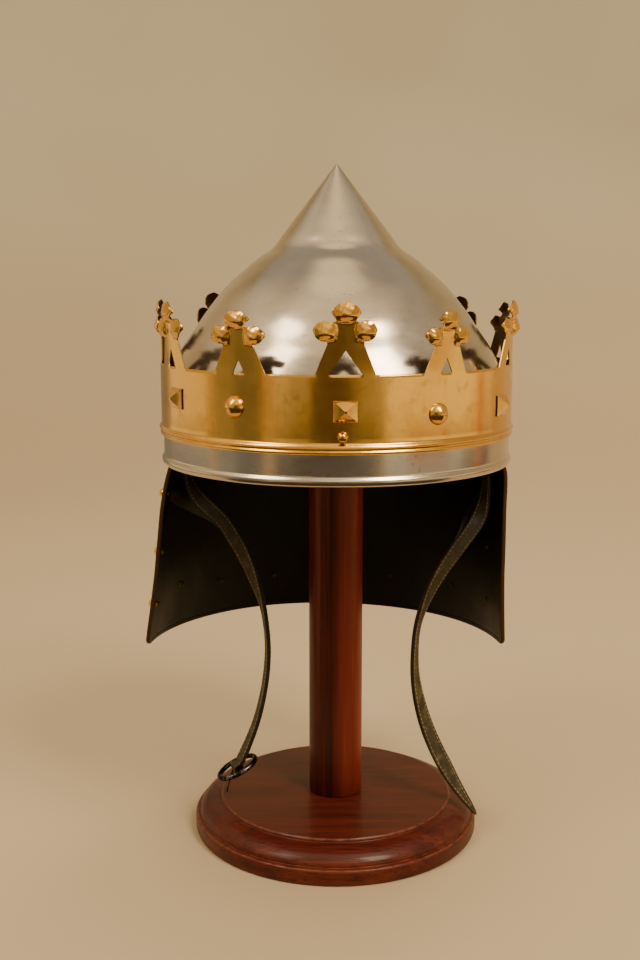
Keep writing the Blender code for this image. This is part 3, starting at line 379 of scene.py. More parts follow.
@dataclass(frozen=True)
class StainedWood:
    """Close-grained hardwood, stained red-brown and varnished.

    It gives deep red streaks under a wet-looking coat, pale along its sharp edges with worn varnish and
    a painted highlight."""

    grain: Grain
    coat: float = 0.15
    dark: str = "#240803"
    middle: str = "#4C1409"
    light: str = "#7C2C1B"
    # painted light: the lighter tone on the side past the seam, where the light falls
    lit_side_tone: str = "#A03C26"
    # paler along the edges: worn varnish together with a painted highlight
    worn: str = "#96593A"
    contrast: Flat = (0.36, 0.66)   # where in the streaks its darkest and its lightest tone lie
    seam_and_lit_side_x: float | None = None     # where a dark seam runs up it; beyond it the wood is painted lighter, as painted light from that side
    # rings painted paler for worn varnish and a painted highlight: radius, height, half width
    wear_and_highlight_rings: tuple[tuple[float, float, float], ...] = ()

    def make(self) -> bpy.types.Material:
        """Builds the material, painting paler rings of the given radius, height and half width: worn varnish
        and a painted highlight along the edges.
        """
        s = Shading(f"stained_varnished_wood_{self.grain.name.lower()}")
        streaks = s.noise(4.4, self.grain.value, detail=5.0, rough=0.68)
        broad = s.noise(15.0, self.grain.value, detail=2.0, shift=(0.21, 0.13, 0.0))
        pores = s.noise(0.7, tuple(c * (0.6 if c < 1 else 1.0) for c in self.grain.value), detail=1.0)
        mixed = s.sums("ADD", s.sums("MULTIPLY", streaks, 0.65), s.sums("MULTIPLY", broad, 0.35))
        low, high = self.contrast
        tone = s.ramp(mixed, (low, linear(self.dark)), (high, linear(self.light)),
                      (0.5 * (low + high), linear(self.middle)))
        tone = s.blend(s.spread(pores, 0.56, 0.70, 0.0, 0.75), tone, linear(self.dark))
        split = s.axes()
        flat = add(s.tree, "ShaderNodeCombineXYZ", {0: split[0], 1: split[1]}).outputs[0]
        reach = add(s.tree, "ShaderNodeVectorMath", {0: flat}, operation="LENGTH").outputs["Value"]
        rubbed = s.noise(4.0, detail=4.0, shift=(0.5, 0.2, 0.7))
        # a dark seam up the post, with painted light past it: the wood on that side is painted lighter
        if self.seam_and_lit_side_x is not None:
            bent = s.sums("MULTIPLY_ADD", s.noise(26.0, self.grain.value), 0.006)
            bent.node.inputs[2].default_value = -0.003
            past = s.sums("SUBTRACT", s.sums("ADD", split[0], bent), self.seam_and_lit_side_x * MM)
            tone = s.blend(s.spread(past, 0.0, 0.012, 0.0, 0.26), tone, linear(self.lit_side_tone))
            line = s.spread(s.sums("ABSOLUTE", past), 0.0, 0.0016, 0.8, 0.0)
            tone = s.blend(line, tone, linear(self.dark))
        # paler rings along the sharp edges: worn varnish and a painted highlight
        for radius, height, half in self.wear_and_highlight_rings:
            off_r = s.sums("SUBTRACT", reach, radius * MM)
            off_z = s.sums("SUBTRACT", split[2], height * MM)
            squares = s.sums("ADD", s.sums("MULTIPLY", off_r, off_r), s.sums("MULTIPLY", off_z, off_z))
            near = s.spread(s.sums("SQRT", squares), 0.0, half * MM, 1.0, 0.0)
            share = s.sums("MULTIPLY", near, s.spread(rubbed, 0.42, 0.62, 0.08, 0.6))
            tone = s.blend(share, tone, linear(self.worn))
        coat = s.relief(s.noise(9.0, detail=1.0), 0.03)
        s.set(Base_Color=tone, Roughness=s.spread(streaks, 0.3, 0.7, 0.36, 0.5), Specular_IOR_Level=0.2,
              Coat_Weight=self.coat, Coat_Roughness=0.16, Normal=s.relief(pores, 0.03, coat))
        return s.material


@dataclass(frozen=True)
class StudioPaper:
    """Matt photographic paper for the sweep under and behind the object. It gives a plain pale ground, with
    painted shade that makes it a little browner on the floor and painted light that makes it paler up the
    wall."""

    floor: str = "#C4B08F"
    wall: str = "#D8D0B6"
    clouded: str = "#BFAC8C"

    def make(self) -> bpy.types.Material:
        """Builds the material."""
        s = Shading("studio_paper")
        # painted shade and light: browner on the floor, paler up the wall
        tone = s.blend(s.spread(s.axes()[2], 0.05, 0.8, 0.0, 1.0), linear(self.floor), linear(self.wall))
        tone = s.blend(s.spread(s.noise(400.0, detail=1.0), 0.3, 0.7, 0.0, 0.3), tone, linear(self.clouded))
        s.set(Base_Color=tone, Roughness=0.9, Specular_IOR_Level=0.2)
        return s.material


def new_object(name: str, mesh: bpy.types.Mesh) -> bpy.types.Object:
    """Puts a mesh into the scene as an object."""
    made = bpy.data.objects.new(name, mesh)
    bpy.context.scene.collection.objects.link(made)
    return made


def finish_faces(mesh: bpy.types.Mesh, merge: bool, smooth: bool, sharp: float | None) -> None:
    """Turns a mesh's faces outwards and sets how they are shaded.

    Args:
        mesh: the mesh.
        merge: whether its doubles are merged first.
        smooth: whether it is shaded smooth.
        sharp: the angle in degrees past which an edge is kept sharp.
    """
    tidy = bmesh.new()
    tidy.from_mesh(mesh)
    if merge:
        bmesh.ops.remove_doubles(tidy, verts=tidy.verts, dist=MERGE)
    bmesh.ops.recalc_face_normals(tidy, faces=tidy.faces)
    if tidy.faces and tidy.calc_volume(signed=True) < 0:
        bmesh.ops.reverse_faces(tidy, faces=tidy.faces)
    tidy.to_mesh(mesh)
    tidy.free()
    for face in mesh.polygons:
        face.use_smooth = smooth
    if sharp is not None:
        mesh.set_sharp_from_angle(angle=math.radians(sharp))


def add_mesh(name: str, points: Sequence, faces: Sequence, finish: bpy.types.Material | None,
             smooth: bool = True, sharp: float | None = None,
             marks: dict[str, Sequence[float]] | None = None) -> bpy.types.Object:
    """Makes an object from points in millimetres.

    Args:
        name: the object's name.
        points: its points.
        faces: its faces, as lists of point numbers.
        finish: its material.
        smooth: whether it is shaded smooth.
        sharp: the angle in degrees past which an edge is kept sharp.
        marks: attribute name to one value per point.

    Returns:
        The object, with its faces turned outwards.
    """
    mesh = bpy.data.meshes.new(name)
    mesh.from_pydata((np.array(points, float) * MM).tolist(), [], [list(f) for f in faces])
    for mark, values in (marks or {}).items():
        mesh.attributes.new(mark, "FLOAT", "POINT").data.foreach_set("value", np.array(values, np.float32))
    if finish:
        mesh.materials.append(finish)
    finish_faces(mesh, True, smooth, sharp)
    return new_object(name, mesh)


def seat(piece: bpy.types.Object, slot: Slot, *nodes: str) -> bpy.types.Object:
    """Ties a finished piece to the frame.

    Args:
        piece: the finished piece.
        slot: the record's slot for its finish; not used.
        nodes: the CAD nodes that it stands for.

    Returns:
        The piece.
    """
    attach(piece, "root")
    if nodes:
        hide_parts(*nodes)
    LOG.info("%s: %d faces, for %s", piece.name, len(piece.data.polygons), ", ".join(nodes) or "no node")
    return piece


def settle(piece: bpy.types.Object, sharp: float | None = None) -> bpy.types.Object:
    """Turns a piece's modifiers into a plain mesh with outward faces.

    Args:
        piece: the object with live modifiers.
        sharp: the angle in degrees past which an edge is kept sharp.

    Returns:
        The same object.
    """
    graph = bpy.context.evaluated_depsgraph_get()
    mesh = bpy.data.meshes.new_from_object(piece.evaluated_get(graph))
    piece.modifiers.clear()
    piece.data = mesh
    finish_faces(mesh, False, True, sharp)
    return piece


@dataclass
class NodeTool:
    """A Geometry Nodes tree with named inputs."""

    name: str
    tree: bpy.types.NodeTree = field(init=False)
    sockets: dict[str, str] = field(init=False, default_factory=dict)
    given: bpy.types.Node = field(init=False)

    def __post_init__(self) -> None:
        """Starts the tree with geometry going in and out."""
        self.tree = bpy.data.node_groups.new(self.name, "GeometryNodeTree")
        face = self.tree.interface
        face.new_socket("Geometry", in_out="INPUT", socket_type="NodeSocketGeometry")
        face.new_socket("Geometry", in_out="OUTPUT", socket_type="NodeSocketGeometry")
        self.given = self.tree.nodes.new("NodeGroupInput")

    def input(self, name: str, kind: str) -> bpy.types.NodeSocket:
        """Adds a named input and gives its socket inside the tree."""
        made = self.tree.interface.new_socket(name, in_out="INPUT", socket_type=f"NodeSocket{kind}")
        self.sockets[name] = made.identifier
        return self.given.outputs[name]

    def close(self, geometry: bpy.types.NodeSocket, finish: bpy.types.NodeSocket) -> None:
        """Ends the tree: instances made real, the material set."""
        real = add(self.tree, "GeometryNodeRealizeInstances", {0: geometry}).outputs[0]
        painted = add(self.tree, "GeometryNodeSetMaterial", {"Geometry": real, "Material": finish}).outputs[0]
        add(self.tree, "NodeGroupOutput", {0: painted})

    def apply(self, base: bpy.types.Object, values: dict[str, object],
              sharp: float | None = None) -> bpy.types.Object:
        """Runs the tree on an object and makes the result plain.

        Args:
            base: the object whose mesh goes in.
            values: input name to value.
            sharp: the angle in degrees past which an edge is kept sharp.

        Returns:
            The object, now a plain mesh.
        """
        modifier = base.modifiers.new(self.name, "NODES")
        modifier.node_group = self.tree
        for name, value in values.items():
            modifier[self.sockets[name]] = value
        return settle(base, sharp)


def turning_tool() -> NodeTool:
    """A tree that turns a profile, drawn in X and Y, round the Z axis."""
    tool = NodeTool("turn_on_lathe")
    steps = tool.input("Steps Round", "Int")
    radius = tool.input("Swing Radius", "Float")
    finish = tool.input("Finish", "Material")
    profile = add(tool.tree, "GeometryNodeMeshToCurve", {0: tool.given.outputs[0]}).outputs[0]
    circle = add(tool.tree, "GeometryNodeCurvePrimitiveCircle",
                 {"Resolution": steps, "Radius": radius}).outputs[0]
    swept = add(tool.tree, "GeometryNodeCurveToMesh", {"Curve": circle, "Profile Curve": profile}).outputs[0]
    closed = add(tool.tree, "GeometryNodeMergeByDistance", {"Geometry": swept, "Distance": MERGE}).outputs[0]
    tool.close(closed, finish)
    return tool


def setting_tool() -> NodeTool:
    """A tree that sets a copy of a part on each point, its Z axis along the point's facing and Y upright."""
    tool = NodeTool("set_on_points")
    part = tool.input("Part", "Object")
    finish = tool.input("Finish", "Material")
    seed = tool.input("Seed", "Int")
    uneven = tool.input("Size Spread", "Float")
    shape = add(tool.tree, "GeometryNodeObjectInfo", {"Object": part}).outputs["Geometry"]
    facing = add(tool.tree, "GeometryNodeInputNamedAttribute", {"Name": "facing"},
                 data_type="FLOAT_VECTOR").outputs[0]
    faced = add(tool.tree, "FunctionNodeAlignRotationToVector", {"Vector": facing}, axis="Z").outputs[0]
    turn = add(tool.tree, "FunctionNodeAlignRotationToVector", {"Rotation": faced, "Vector": (0.0, 0.0, 1.0)},
               axis="Y", pivot_axis="Z").outputs[0]
    least = add(tool.tree, "ShaderNodeMath", {0: 1.0, 1: uneven}, operation="SUBTRACT").outputs[0]
    most = add(tool.tree, "ShaderNodeMath", {0: 1.0, 1: uneven}, operation="ADD").outputs[0]
    size = add(tool.tree, "FunctionNodeRandomValue", {2: least, 3: most, "Seed": seed},
               data_type="FLOAT").outputs[1]
    placed = add(tool.tree, "GeometryNodeInstanceOnPoints",
                 {"Points": tool.given.outputs[0], "Instance": shape, "Rotation": turn,
                  "Scale": size}).outputs[0]
    tool.close(placed, finish)
    return tool


def stitching_tool() -> NodeTool:
    """A tree that lays short threads end to end along lines."""
    tool = NodeTool("stitch_along_lines")
    pitch = tool.input("Pitch", "Float")
    length = tool.input("Thread Length", "Float")
    thick = tool.input("Thread Radius", "Float")
    seed = tool.input("Seed", "Int")
    finish = tool.input("Finish", "Material")
    lines = add(tool.tree, "GeometryNodeMeshToCurve", {0: tool.given.outputs[0]}).outputs[0]
    spaced = add(tool.tree, "GeometryNodeResampleCurve", {"Curve": lines, "Length": pitch},
                 mode="LENGTH").outputs[0]
    along = add(tool.tree, "GeometryNodeInputTangent").outputs[0]
    turn = add(tool.tree, "FunctionNodeAlignRotationToVector", {"Vector": along}, axis="Z").outputs[0]
    ball = add(tool.tree, "GeometryNodeMeshUVSphere", {"Segments": 6, "Rings": 5, "Radius": 1.0}).outputs[0]
    half = add(tool.tree, "ShaderNodeMath", {0: length, 1: 0.5}, operation="MULTIPLY").outputs[0]
    size = add(tool.tree, "ShaderNodeCombineXYZ", {0: thick, 1: thick, 2: half}).outputs[0]
    thread = add(tool.tree, "GeometryNodeTransform", {"Geometry": ball, "Scale": size}).outputs[0]
    vary = add(tool.tree, "FunctionNodeRandomValue", {2: 0.82, 3: 1.1, "Seed": seed},
               data_type="FLOAT").outputs[1]
    laid = add(tool.tree, "GeometryNodeInstanceOnPoints",
               {"Points": spaced, "Instance": thread, "Rotation": turn, "Scale": vary}).outputs[0]
    tool.close(laid, finish)
    return tool


def spline(rows: Sequence[Sequence[float]], steps: int) -> np.ndarray:
    """Runs a smooth curve through rows.

    Args:
        rows: the points, with any number of columns.
        steps: how many points each stretch between two rows gets.

    Returns:
        The points of the curve.
    """
    data = np.array(rows, float)
    padded = np.vstack([2 * data[0] - data[1], data, 2 * data[-1] - data[-2]])
    out = []
    for k in range(1, len(padded) - 2):
        p0, p1, p2, p3 = padded[k - 1:k + 3]
        for step in range(steps):
            t = step / steps
            out.append(0.5 * (2 * p1 + (p2 - p0) * t + (2 * p0 - 5 * p1 + 4 * p2 - p3) * t * t
                              + (3 * p1 - p0 - 3 * p2 + p3) * t ** 3))
    out.append(data[-1])
    return np.array(out)


def rounded(line: Sequence[Flat], radius: float, steps: int = 4) -> list[Flat]:
    """Rounds the corners of a line, its two ends apart.

    Args:
        line: the corners.
        radius: how far from a corner its rounding starts, where the sides allow.
        steps: how many pieces each rounding has.

    Returns:
        The rounded line.
    """
    out = [tuple(line[0])]
    for before, corner, after in zip(line, line[1:], line[2:]):
        b, c, a = (np.array(p, float) for p in (before, corner, after))
        back, ahead = np.linalg.norm(b - c), np.linalg.norm(a - c)
        start = c + (b - c) * min(radius, 0.45 * back) / back
        end = c + (a - c) * min(radius, 0.45 * ahead) / ahead
        for k in range(steps + 1):
            t = k / steps
            out.append(tuple((1 - t) ** 2 * start + 2 * t * (1 - t) * c + t * t * end))
    out.append(tuple(line[-1]))
    return out


def inset(profile: Sequence[Flat], depth: float) -> list[Flat]:
    """Moves an outline that runs from the top down inwards by depth along its normals."""
    line = np.array(profile)
    along = np.gradient(line, axis=0)
    along /= np.linalg.norm(along, axis=1)[:, None]
    moved = []
    for (radius, height), (step_r, step_z) in zip(profile, along):
        on_axis = radius <= 0
        moved.append((0.0 if on_axis else max(radius + step_z * depth, 0.0),
                      height - (depth if on_axis else step_r * depth)))
    return moved


@dataclass
class Lathe:
    """Makes turned pieces from a profile of radius and height."""

    tool: NodeTool
    swing: float = 60.0

    def turn(self, name: str, profile: Sequence[Flat], steps: int, finish: bpy.types.Material,
             sharp: float | None = None, tarnish_and_shade_below: float | None = None) -> bpy.types.Object:
        """Turns a profile.

        Args:
            name: the piece's name.
            profile: radius and height in millimetres, in order.
            steps: how many steps it takes round.
            finish: its material.
            sharp: the angle in degrees past which an edge is kept sharp.
            tarnish_and_shade_below: the height under which the piece is marked to be painted brown, for
                tarnish and painted shade.

        Returns:
            The piece.
        """
        points = [((radius - self.swing) * MM, -height * MM, 0.0) for radius, height in profile]
        edges = [(k, k + 1) for k in range(len(points) - 1)]
        mesh = bpy.data.meshes.new(name)
        mesh.from_pydata(points, edges, [])
        if tarnish_and_shade_below is not None:
            aged = [float(height < tarnish_and_shade_below) for _, height in profile]
            mesh.attributes.new("aged", "FLOAT", "POINT").data.foreach_set("value", aged)
        values = {"Steps Round": steps, "Swing Radius": self.swing * MM, "Finish": finish}
        return self.tool.apply(new_object(name, mesh), values, sharp)


@dataclass
class Skull:
    """The spun steel skull with its drawn-out point and rolled rim."""

    rim_z: float = 257.8
    wall_radius: float = 114.0
    thickness: float = 1.3
    wall_top_z: float = 276.0
    shoulder_z: float = 390.0
    tip_z: float = 447.2
    roll_height: float = 6.0
    roll_swell: float = 1.4
    softening: int = 10
    steps: int = 192
    tip_rows: tuple[Flat, ...] = ((0.0, 1.7), (0.45, 1.6), (0.8, 1.35), (1.1, 1.05))
    cone_foot: Flat = (37.0, 401.8)
    shoulder_rows: tuple[Flat, ...] = ((40.0, 396.9), (44.6, 393.4))
    wall_rows: Flat = (272.0, 268.5)
    rows: tuple[Flat, ...] = (
        # the dome: shares of the wall's radius and of the height from the wall to the shoulder
        (0.441, 1.000), (0.505, 0.947), (0.588, 0.877), (0.657, 0.807), (0.713, 0.737), (0.766, 0.667),
        (0.812, 0.596), (0.868, 0.518), (0.918, 0.430), (0.960, 0.325), (0.986, 0.211), (0.998, 0.096),
        (1.000, 0.000),
    )

    def outline(self) -> list[Flat]:
        """The outer line from the tip down to the top of the roll."""
        tip = [(radius, self.tip_z + above) for radius, above in self.tip_rows]
        cone = [tuple(p) for p in np.linspace(tip[-1], self.cone_foot, 14)]
        span = self.shoulder_z - self.wall_top_z
        dome = [(a * self.wall_radius, self.wall_top_z + b * span) for a, b in self.rows]
        line = spline(cone[1:] + list(self.shoulder_rows) + dome, 8)
        run = np.concatenate([[0.0], np.cumsum(np.hypot(*np.diff(line, axis=0).T))])
        even = np.linspace(0.0, run[-1], 150)
        line = np.column_stack([np.interp(even, run, line[:, k]) for k in (0, 1)])
        for _ in range(self.softening):
            line[1:-1] = 0.25 * line[:-2] + 0.5 * line[1:-1] + 0.25 * line[2:]
        wall = [(self.wall_radius, z) for z in (*self.wall_rows, self.rim_z + self.roll_height + 0.6)]
        return [(float(a), float(b)) for a, b in tip + [tuple(p) for p in line] + wall]

    def build(self, lathe: Lathe, finish: bpy.types.Material) -> None:
        """Builds and seats the skull."""
        outer = self.outline()
        top = self.rim_z + self.roll_height
        reach = 0.5 * self.roll_height
        roll = []
        for turn in np.linspace(1, 0, 9)[:-1]:
            roll.append((self.wall_radius + self.roll_swell * math.cos(0.5 * math.pi * turn) ** 1.4,
                         top - reach + reach * turn))
        for turn in np.radians(np.arange(0, -91, -15)):
            roll.append((self.wall_radius - 0.3 + (self.roll_swell + 0.3) * max(0.0, math.cos(turn)) ** 0.8,
                         top - reach + reach * math.sin(turn)))
        inner = inset(outer, self.thickness)[::-1]
        hem = [(self.wall_radius - self.thickness + 0.3, self.rim_z + 0.1),
               (self.wall_radius - self.thickness, self.rim_z + 0.7)]
        piece = lathe.turn("skull", outer + roll + hem + inner, self.steps, finish, sharp=50)
        seat(piece, Slot.STEEL, "skull")


@dataclass
class Crown:
    """The brass crown: a sheet with a bead along its foot and eleven pierced finials.

    Each finial has three raised lobes."""

    radius: float = 115.3
    thickness: float = 0.85
    bottom_z: float = 277.0
    top_z: float = 323.0
    turn: float = 1.9
    foot_half: float = 17.6
    lean: float = 2.7
    swell: float = 3.8
    dent: float = 0.11              # how deep the hammer marks on the lobes are
    brow: float = -0.3              # where across a lobe's height it stands out most, from -1 to 1
    rim: float = 0.55               # how far a lobe's lower edge curls out again
    lip: float = 0.6                # how far the band's free upper edge rolls back
    cell: float = 0.85
    stray: float = 0.25             # how far a lobe's middle and half sizes wander
    waist: Flat = (10.4, 17.6)      # where a finial's side meets its side lobe
    neck: Flat = (5.6, 30.2)        # where a side lobe meets the top one
    lobes: tuple[tuple[float, float, float, float], ...] = (
        # across, above the band, half width, half height
        (-11.5, 24.9, 6.2, 6.1), (11.5, 24.9, 6.2, 6.1), (0.0, 35.4, 8.0, 6.0),
    )
    top_lobe: tuple[Flat, ...] = (
        # its outline in shares of its half width and half height
        (0.72, -0.58), (0.90, -0.34), (1.06, 0.0), (0.96, 0.26), (0.80, 0.50), (0.62, 0.72), (0.42, 0.86),
        (0.20, 0.94),
    )
    bead: tuple[Flat, ...] = (
        # height above the foot, and how far it stands out there
        (0.0, 0.35), (0.5, 0.75), (1.1, 0.90), (1.7, 0.60), (2.2, 0.15), (2.7, 0.10), (3.2, 0.55),
        (3.8, 1.15), (4.5, 1.50), (5.2, 1.20), (5.8, 0.60), (6.4, 0.10), (7.4, 0.0),
    )
    finials: tuple[tuple[float, float, float, float, float], ...] = (
        # (degrees off even spacing, share of full height, of full width, opening's height, its half width)
        (0.0, 1.00, 1.00, 14.0, 9.8), (-1.4, 0.87, 0.86, 8.6, 4.4), (0.6, 0.97, 0.95, 11.0, 5.6),
        (3.4, 0.90, 0.95, 10.4, 5.4), (-2.4, 0.97, 1.00, 9.6, 5.2), (0.0, 0.94, 0.97, 11.2, 6.0),
        (0.8, 0.97, 1.00, 9.8, 5.6), (-3.4, 1.04, 1.00, 10.6, 5.2), (-1.2, 0.95, 0.98, 9.4, 5.8),
        (1.1, 0.96, 1.00, 11.6, 5.4), (0.5, 0.88, 1.00, 7.8, 4.0),
    )

    def outline(self, lobes: np.ndarray) -> list[Flat]:
        """A full finial's outline above the band, from its right foot over the top to its left foot."""
        sides = []
        for way, (across, above, wide, tall) in ((1, lobes[1]), (-1, lobes[0])):
            line = [(way * self.foot_half, 0.0), (way * self.waist[0], self.waist[1])]
            for degrees in range(-98, 119, 12):
                point = 1.0 + 0.12 * math.exp(-((degrees - 8) / 16) ** 2)
                turn = math.radians(degrees)
                line.append((across + way * wide * point * math.cos(turn), above + tall * math.sin(turn)))
            line.append((way * self.neck[0], self.neck[1]))
            across, above, wide, tall = lobes[2]
            line += [(across + way * reach * wide, above + height * tall) for reach, height in self.top_lobe]
            sides.append(line)
        top = [(float(lobes[2][0]), self.top_of(lobes))]
        return sides[0] + top + sides[1][::-1]

    @staticmethod
    def top_of(lobes: np.ndarray) -> float:
        """How high a full finial's peak stands above the band."""
        return float(lobes[2][1] + 1.02 * lobes[2][3])

    def raised(self, arc: np.ndarray, rise: np.ndarray, lobes: np.ndarray, phase: float) -> np.ndarray:
        """How far the hammered lobes stand out.

        Each slopes up to a brow, drops off below it and ends in a rim.

        Args:
            arc: places across a full finial.
            rise: places above the band.
            lobes: the lobes' middles and half sizes.
            phase: shifts the hammer marks.

        Returns:
            How far each place stands out of the sheet.
        """
        best = np.zeros(len(arc))
        for number, (across, above, wide, tall) in enumerate(lobes):
            u, v = (arc - across) / wide, (rise - above) / tall
            slope = np.where(v > self.brow, (1 - v) / (1 - self.brow), (1 + v) / (1 + self.brow))
            stand = self.swell * np.clip(slope, 0, 1) ** 0.62 * np.clip(1 - np.abs(u) ** 2.1, 0, 1) ** 0.6
            dents = (np.sin(1.25 * arc + 0.5 * rise + 2.1 * number) * np.sin(1.1 * rise - 0.4 * arc + phase)
                     + 0.5 * np.sin(2.3 * arc - 0.9 * rise + phase))
            stand += self.dent * dents * np.clip(stand / 1.5, 0, 1)
            reach = np.hypot(u, v)
            curl = self.rim * np.exp(-((reach - 0.97) / 0.10) ** 2) * (v < 0.3)
            best = np.maximum(best, stand + curl)
        return best

    def spaced(self, corners: Sequence[Flat], gap: float) -> list[Flat]:
        """Fills in points no further apart than gap along a line."""
        out = []
        for a, b in zip(corners, corners[1:]):
            count = max(1, math.ceil(math.dist(a, b) / gap))
            out += [(a[0] + (b[0] - a[0]) * k / count, a[1] + (b[1] - a[1]) * k / count)
                    for k in range(count)]
        return out + [tuple(corners[-1])]

    @staticmethod
    def inside(points: np.ndarray, polygon: np.ndarray) -> np.ndarray:
        """Tells which flat points lie in a polygon."""
        hits = np.zeros(len(points), bool)
        for (ax, ay), (bx, by) in zip(polygon, np.roll(polygon, -1, axis=0)):
            if ay == by:
                continue
            across = ax + (points[:, 1] - ay) * (bx - ax) / (by - ay)
            hits ^= ((ay > points[:, 1]) != (by > points[:, 1])) & (points[:, 0] < across)
        return hits

    def sheet(self, number: int, rng: np.random.Generator) -> tuple[np.ndarray, np.ndarray, np.ndarray]:
        """One finial's share of the crown laid flat.

        Args:
            number: which finial.
            rng: the source of the mesh's unevenness.

        Returns:
            Its flat points, its faces, and how far each point stands out of the sheet.
        """
        stray, tall, wide, opening, half_opening = self.finials[number]
        half = math.pi * self.radius / len(self.finials)
        shift = self.radius * math.radians(stray)
        depth = self.bottom_z - self.top_z
        lobes = np.array(self.lobes) + rng.uniform(-self.stray, self.stray, (3, 4))
        full = self.spaced(self.outline(lobes), self.cell)
        outline = [(shift + wide * x, tall * y) for x, y in full]
        corners = [(shift - half_opening, 0.0), (shift, opening), (shift + half_opening, 0.0),
                   (shift - half_opening, 0.0)]
        hole = self.spaced(corners, self.cell)[:-1]
        plain = list(np.linspace(depth + 9.5, -2.6, 15))
        rows = [depth + z for z, _ in self.bead] + plain + [-1.8, -1.2, -0.6, 0.0]
        columns = np.linspace(-half, half, 37)
        band = [(x, z) for z in rows for x in columns]
        xs, ys = np.meshgrid(np.arange(-20, 20.1, self.cell), np.arange(0.6, 46, self.cell * 0.87))
        xs = xs + (np.arange(len(xs)) % 2 * 0.5 * self.cell)[:, None] + rng.uniform(-0.1, 0.1, xs.shape)
        fill = np.column_stack([shift + xs.ravel(), ys.ravel()])
        keep = self.inside(fill, np.array(outline)) & ~self.inside(fill, np.array(hole))
        edge_points = np.array(outline + hole)
        far = np.array([np.min(np.hypot(*(edge_points - p).T)) > 0.55 * self.cell for p in fill[keep]])
        fill = fill[keep][far]
        points = [Vector(p) for p in band + outline + hole + [tuple(p) for p in fill]]
        first = len(band)
        edges = [(first + k, first + k + 1) for k in range(len(outline) - 1)]
        first += len(outline)
        edges += [(first + k, first + (k + 1) % len(hole)) for k in range(len(hole))]
        flat, _, found, *_ = delaunay_2d_cdt(points, edges, [], 0, 1e-5)
        flat = np.array([tuple(p) for p in flat])
        faces = np.array([list(f) for f in found if len(f) == 3])
        middle = flat[faces].mean(axis=1)
        kept = (middle[:, 1] < 0) | self.inside(middle, np.array(outline))
        kept &= ~self.inside(middle, np.array(hole))
        arc, rise = flat.T
        across = np.abs(arc - shift)
        free = np.clip(np.maximum(across - self.foot_half * wide, half_opening - across) / 1.2, 0, 1)
        heights, swells = zip(*self.bead)
        lean = self.lean * np.clip(rise / 40.0, 0, None) ** 1.3
        raised = self.raised((arc - shift) / wide, rise / tall, lobes, number)
        lip = self.lip * free * np.exp(-(rise / 0.9) ** 2) * (rise <= 0)
        return flat, faces[kept], lean + raised + np.interp(rise - depth, heights, swells) - lip

    def build(self, finish: bpy.types.Material) -> None:
        """Builds and seats the crown: both skins of the sheet and the cut edge between them."""
        rng = np.random.default_rng(SEED)
        points: list[Point] = []
        faces: list[list[int]] = []
        aged: list[float] = []
        for number in range(len(self.finials)):
            flat, found, out = self.sheet(number, rng)
            start = len(points)
            azimuth = math.radians(self.turn) + 2 * math.pi * number / len(self.finials)
            for depth in (0.0, self.thickness):
                for (arc, rise), stand in zip(flat, out):
                    level = stand if depth == 0 or rise > 0 else 0.0
                    angle = azimuth + arc / self.radius
                    reach = self.radius + level - depth
                    points.append((reach * math.sin(angle), -reach * math.cos(angle), self.top_z + rise))
                # the inner skin is marked to be painted brown: part tarnish, part painted shade
                aged += [float(depth > 0)] * len(flat)
            count = len(flat)
            faces += [[start + i for i in f] for f in found]
            faces += [[start + count + i for i in f[::-1]] for f in found]
            sides = {}
            for a, b, c in found:
                for edge in ((a, b), (b, c), (c, a)):
                    sides[tuple(sorted(edge))] = None if tuple(sorted(edge)) in sides else edge
            half = math.pi * self.radius / len(self.finials) - 1e-3
            for edge in filter(None, sides.values()):
                a, b = edge
                if abs(flat[a][0]) > half and abs(flat[b][0]) > half:
                    continue
                faces.append([start + b, start + a, start + count + a, start + count + b])
        piece = add_mesh("crown", points, faces, finish, sharp=48, marks={"aged": aged})
        seat(piece, Slot.BRASS, "crown")


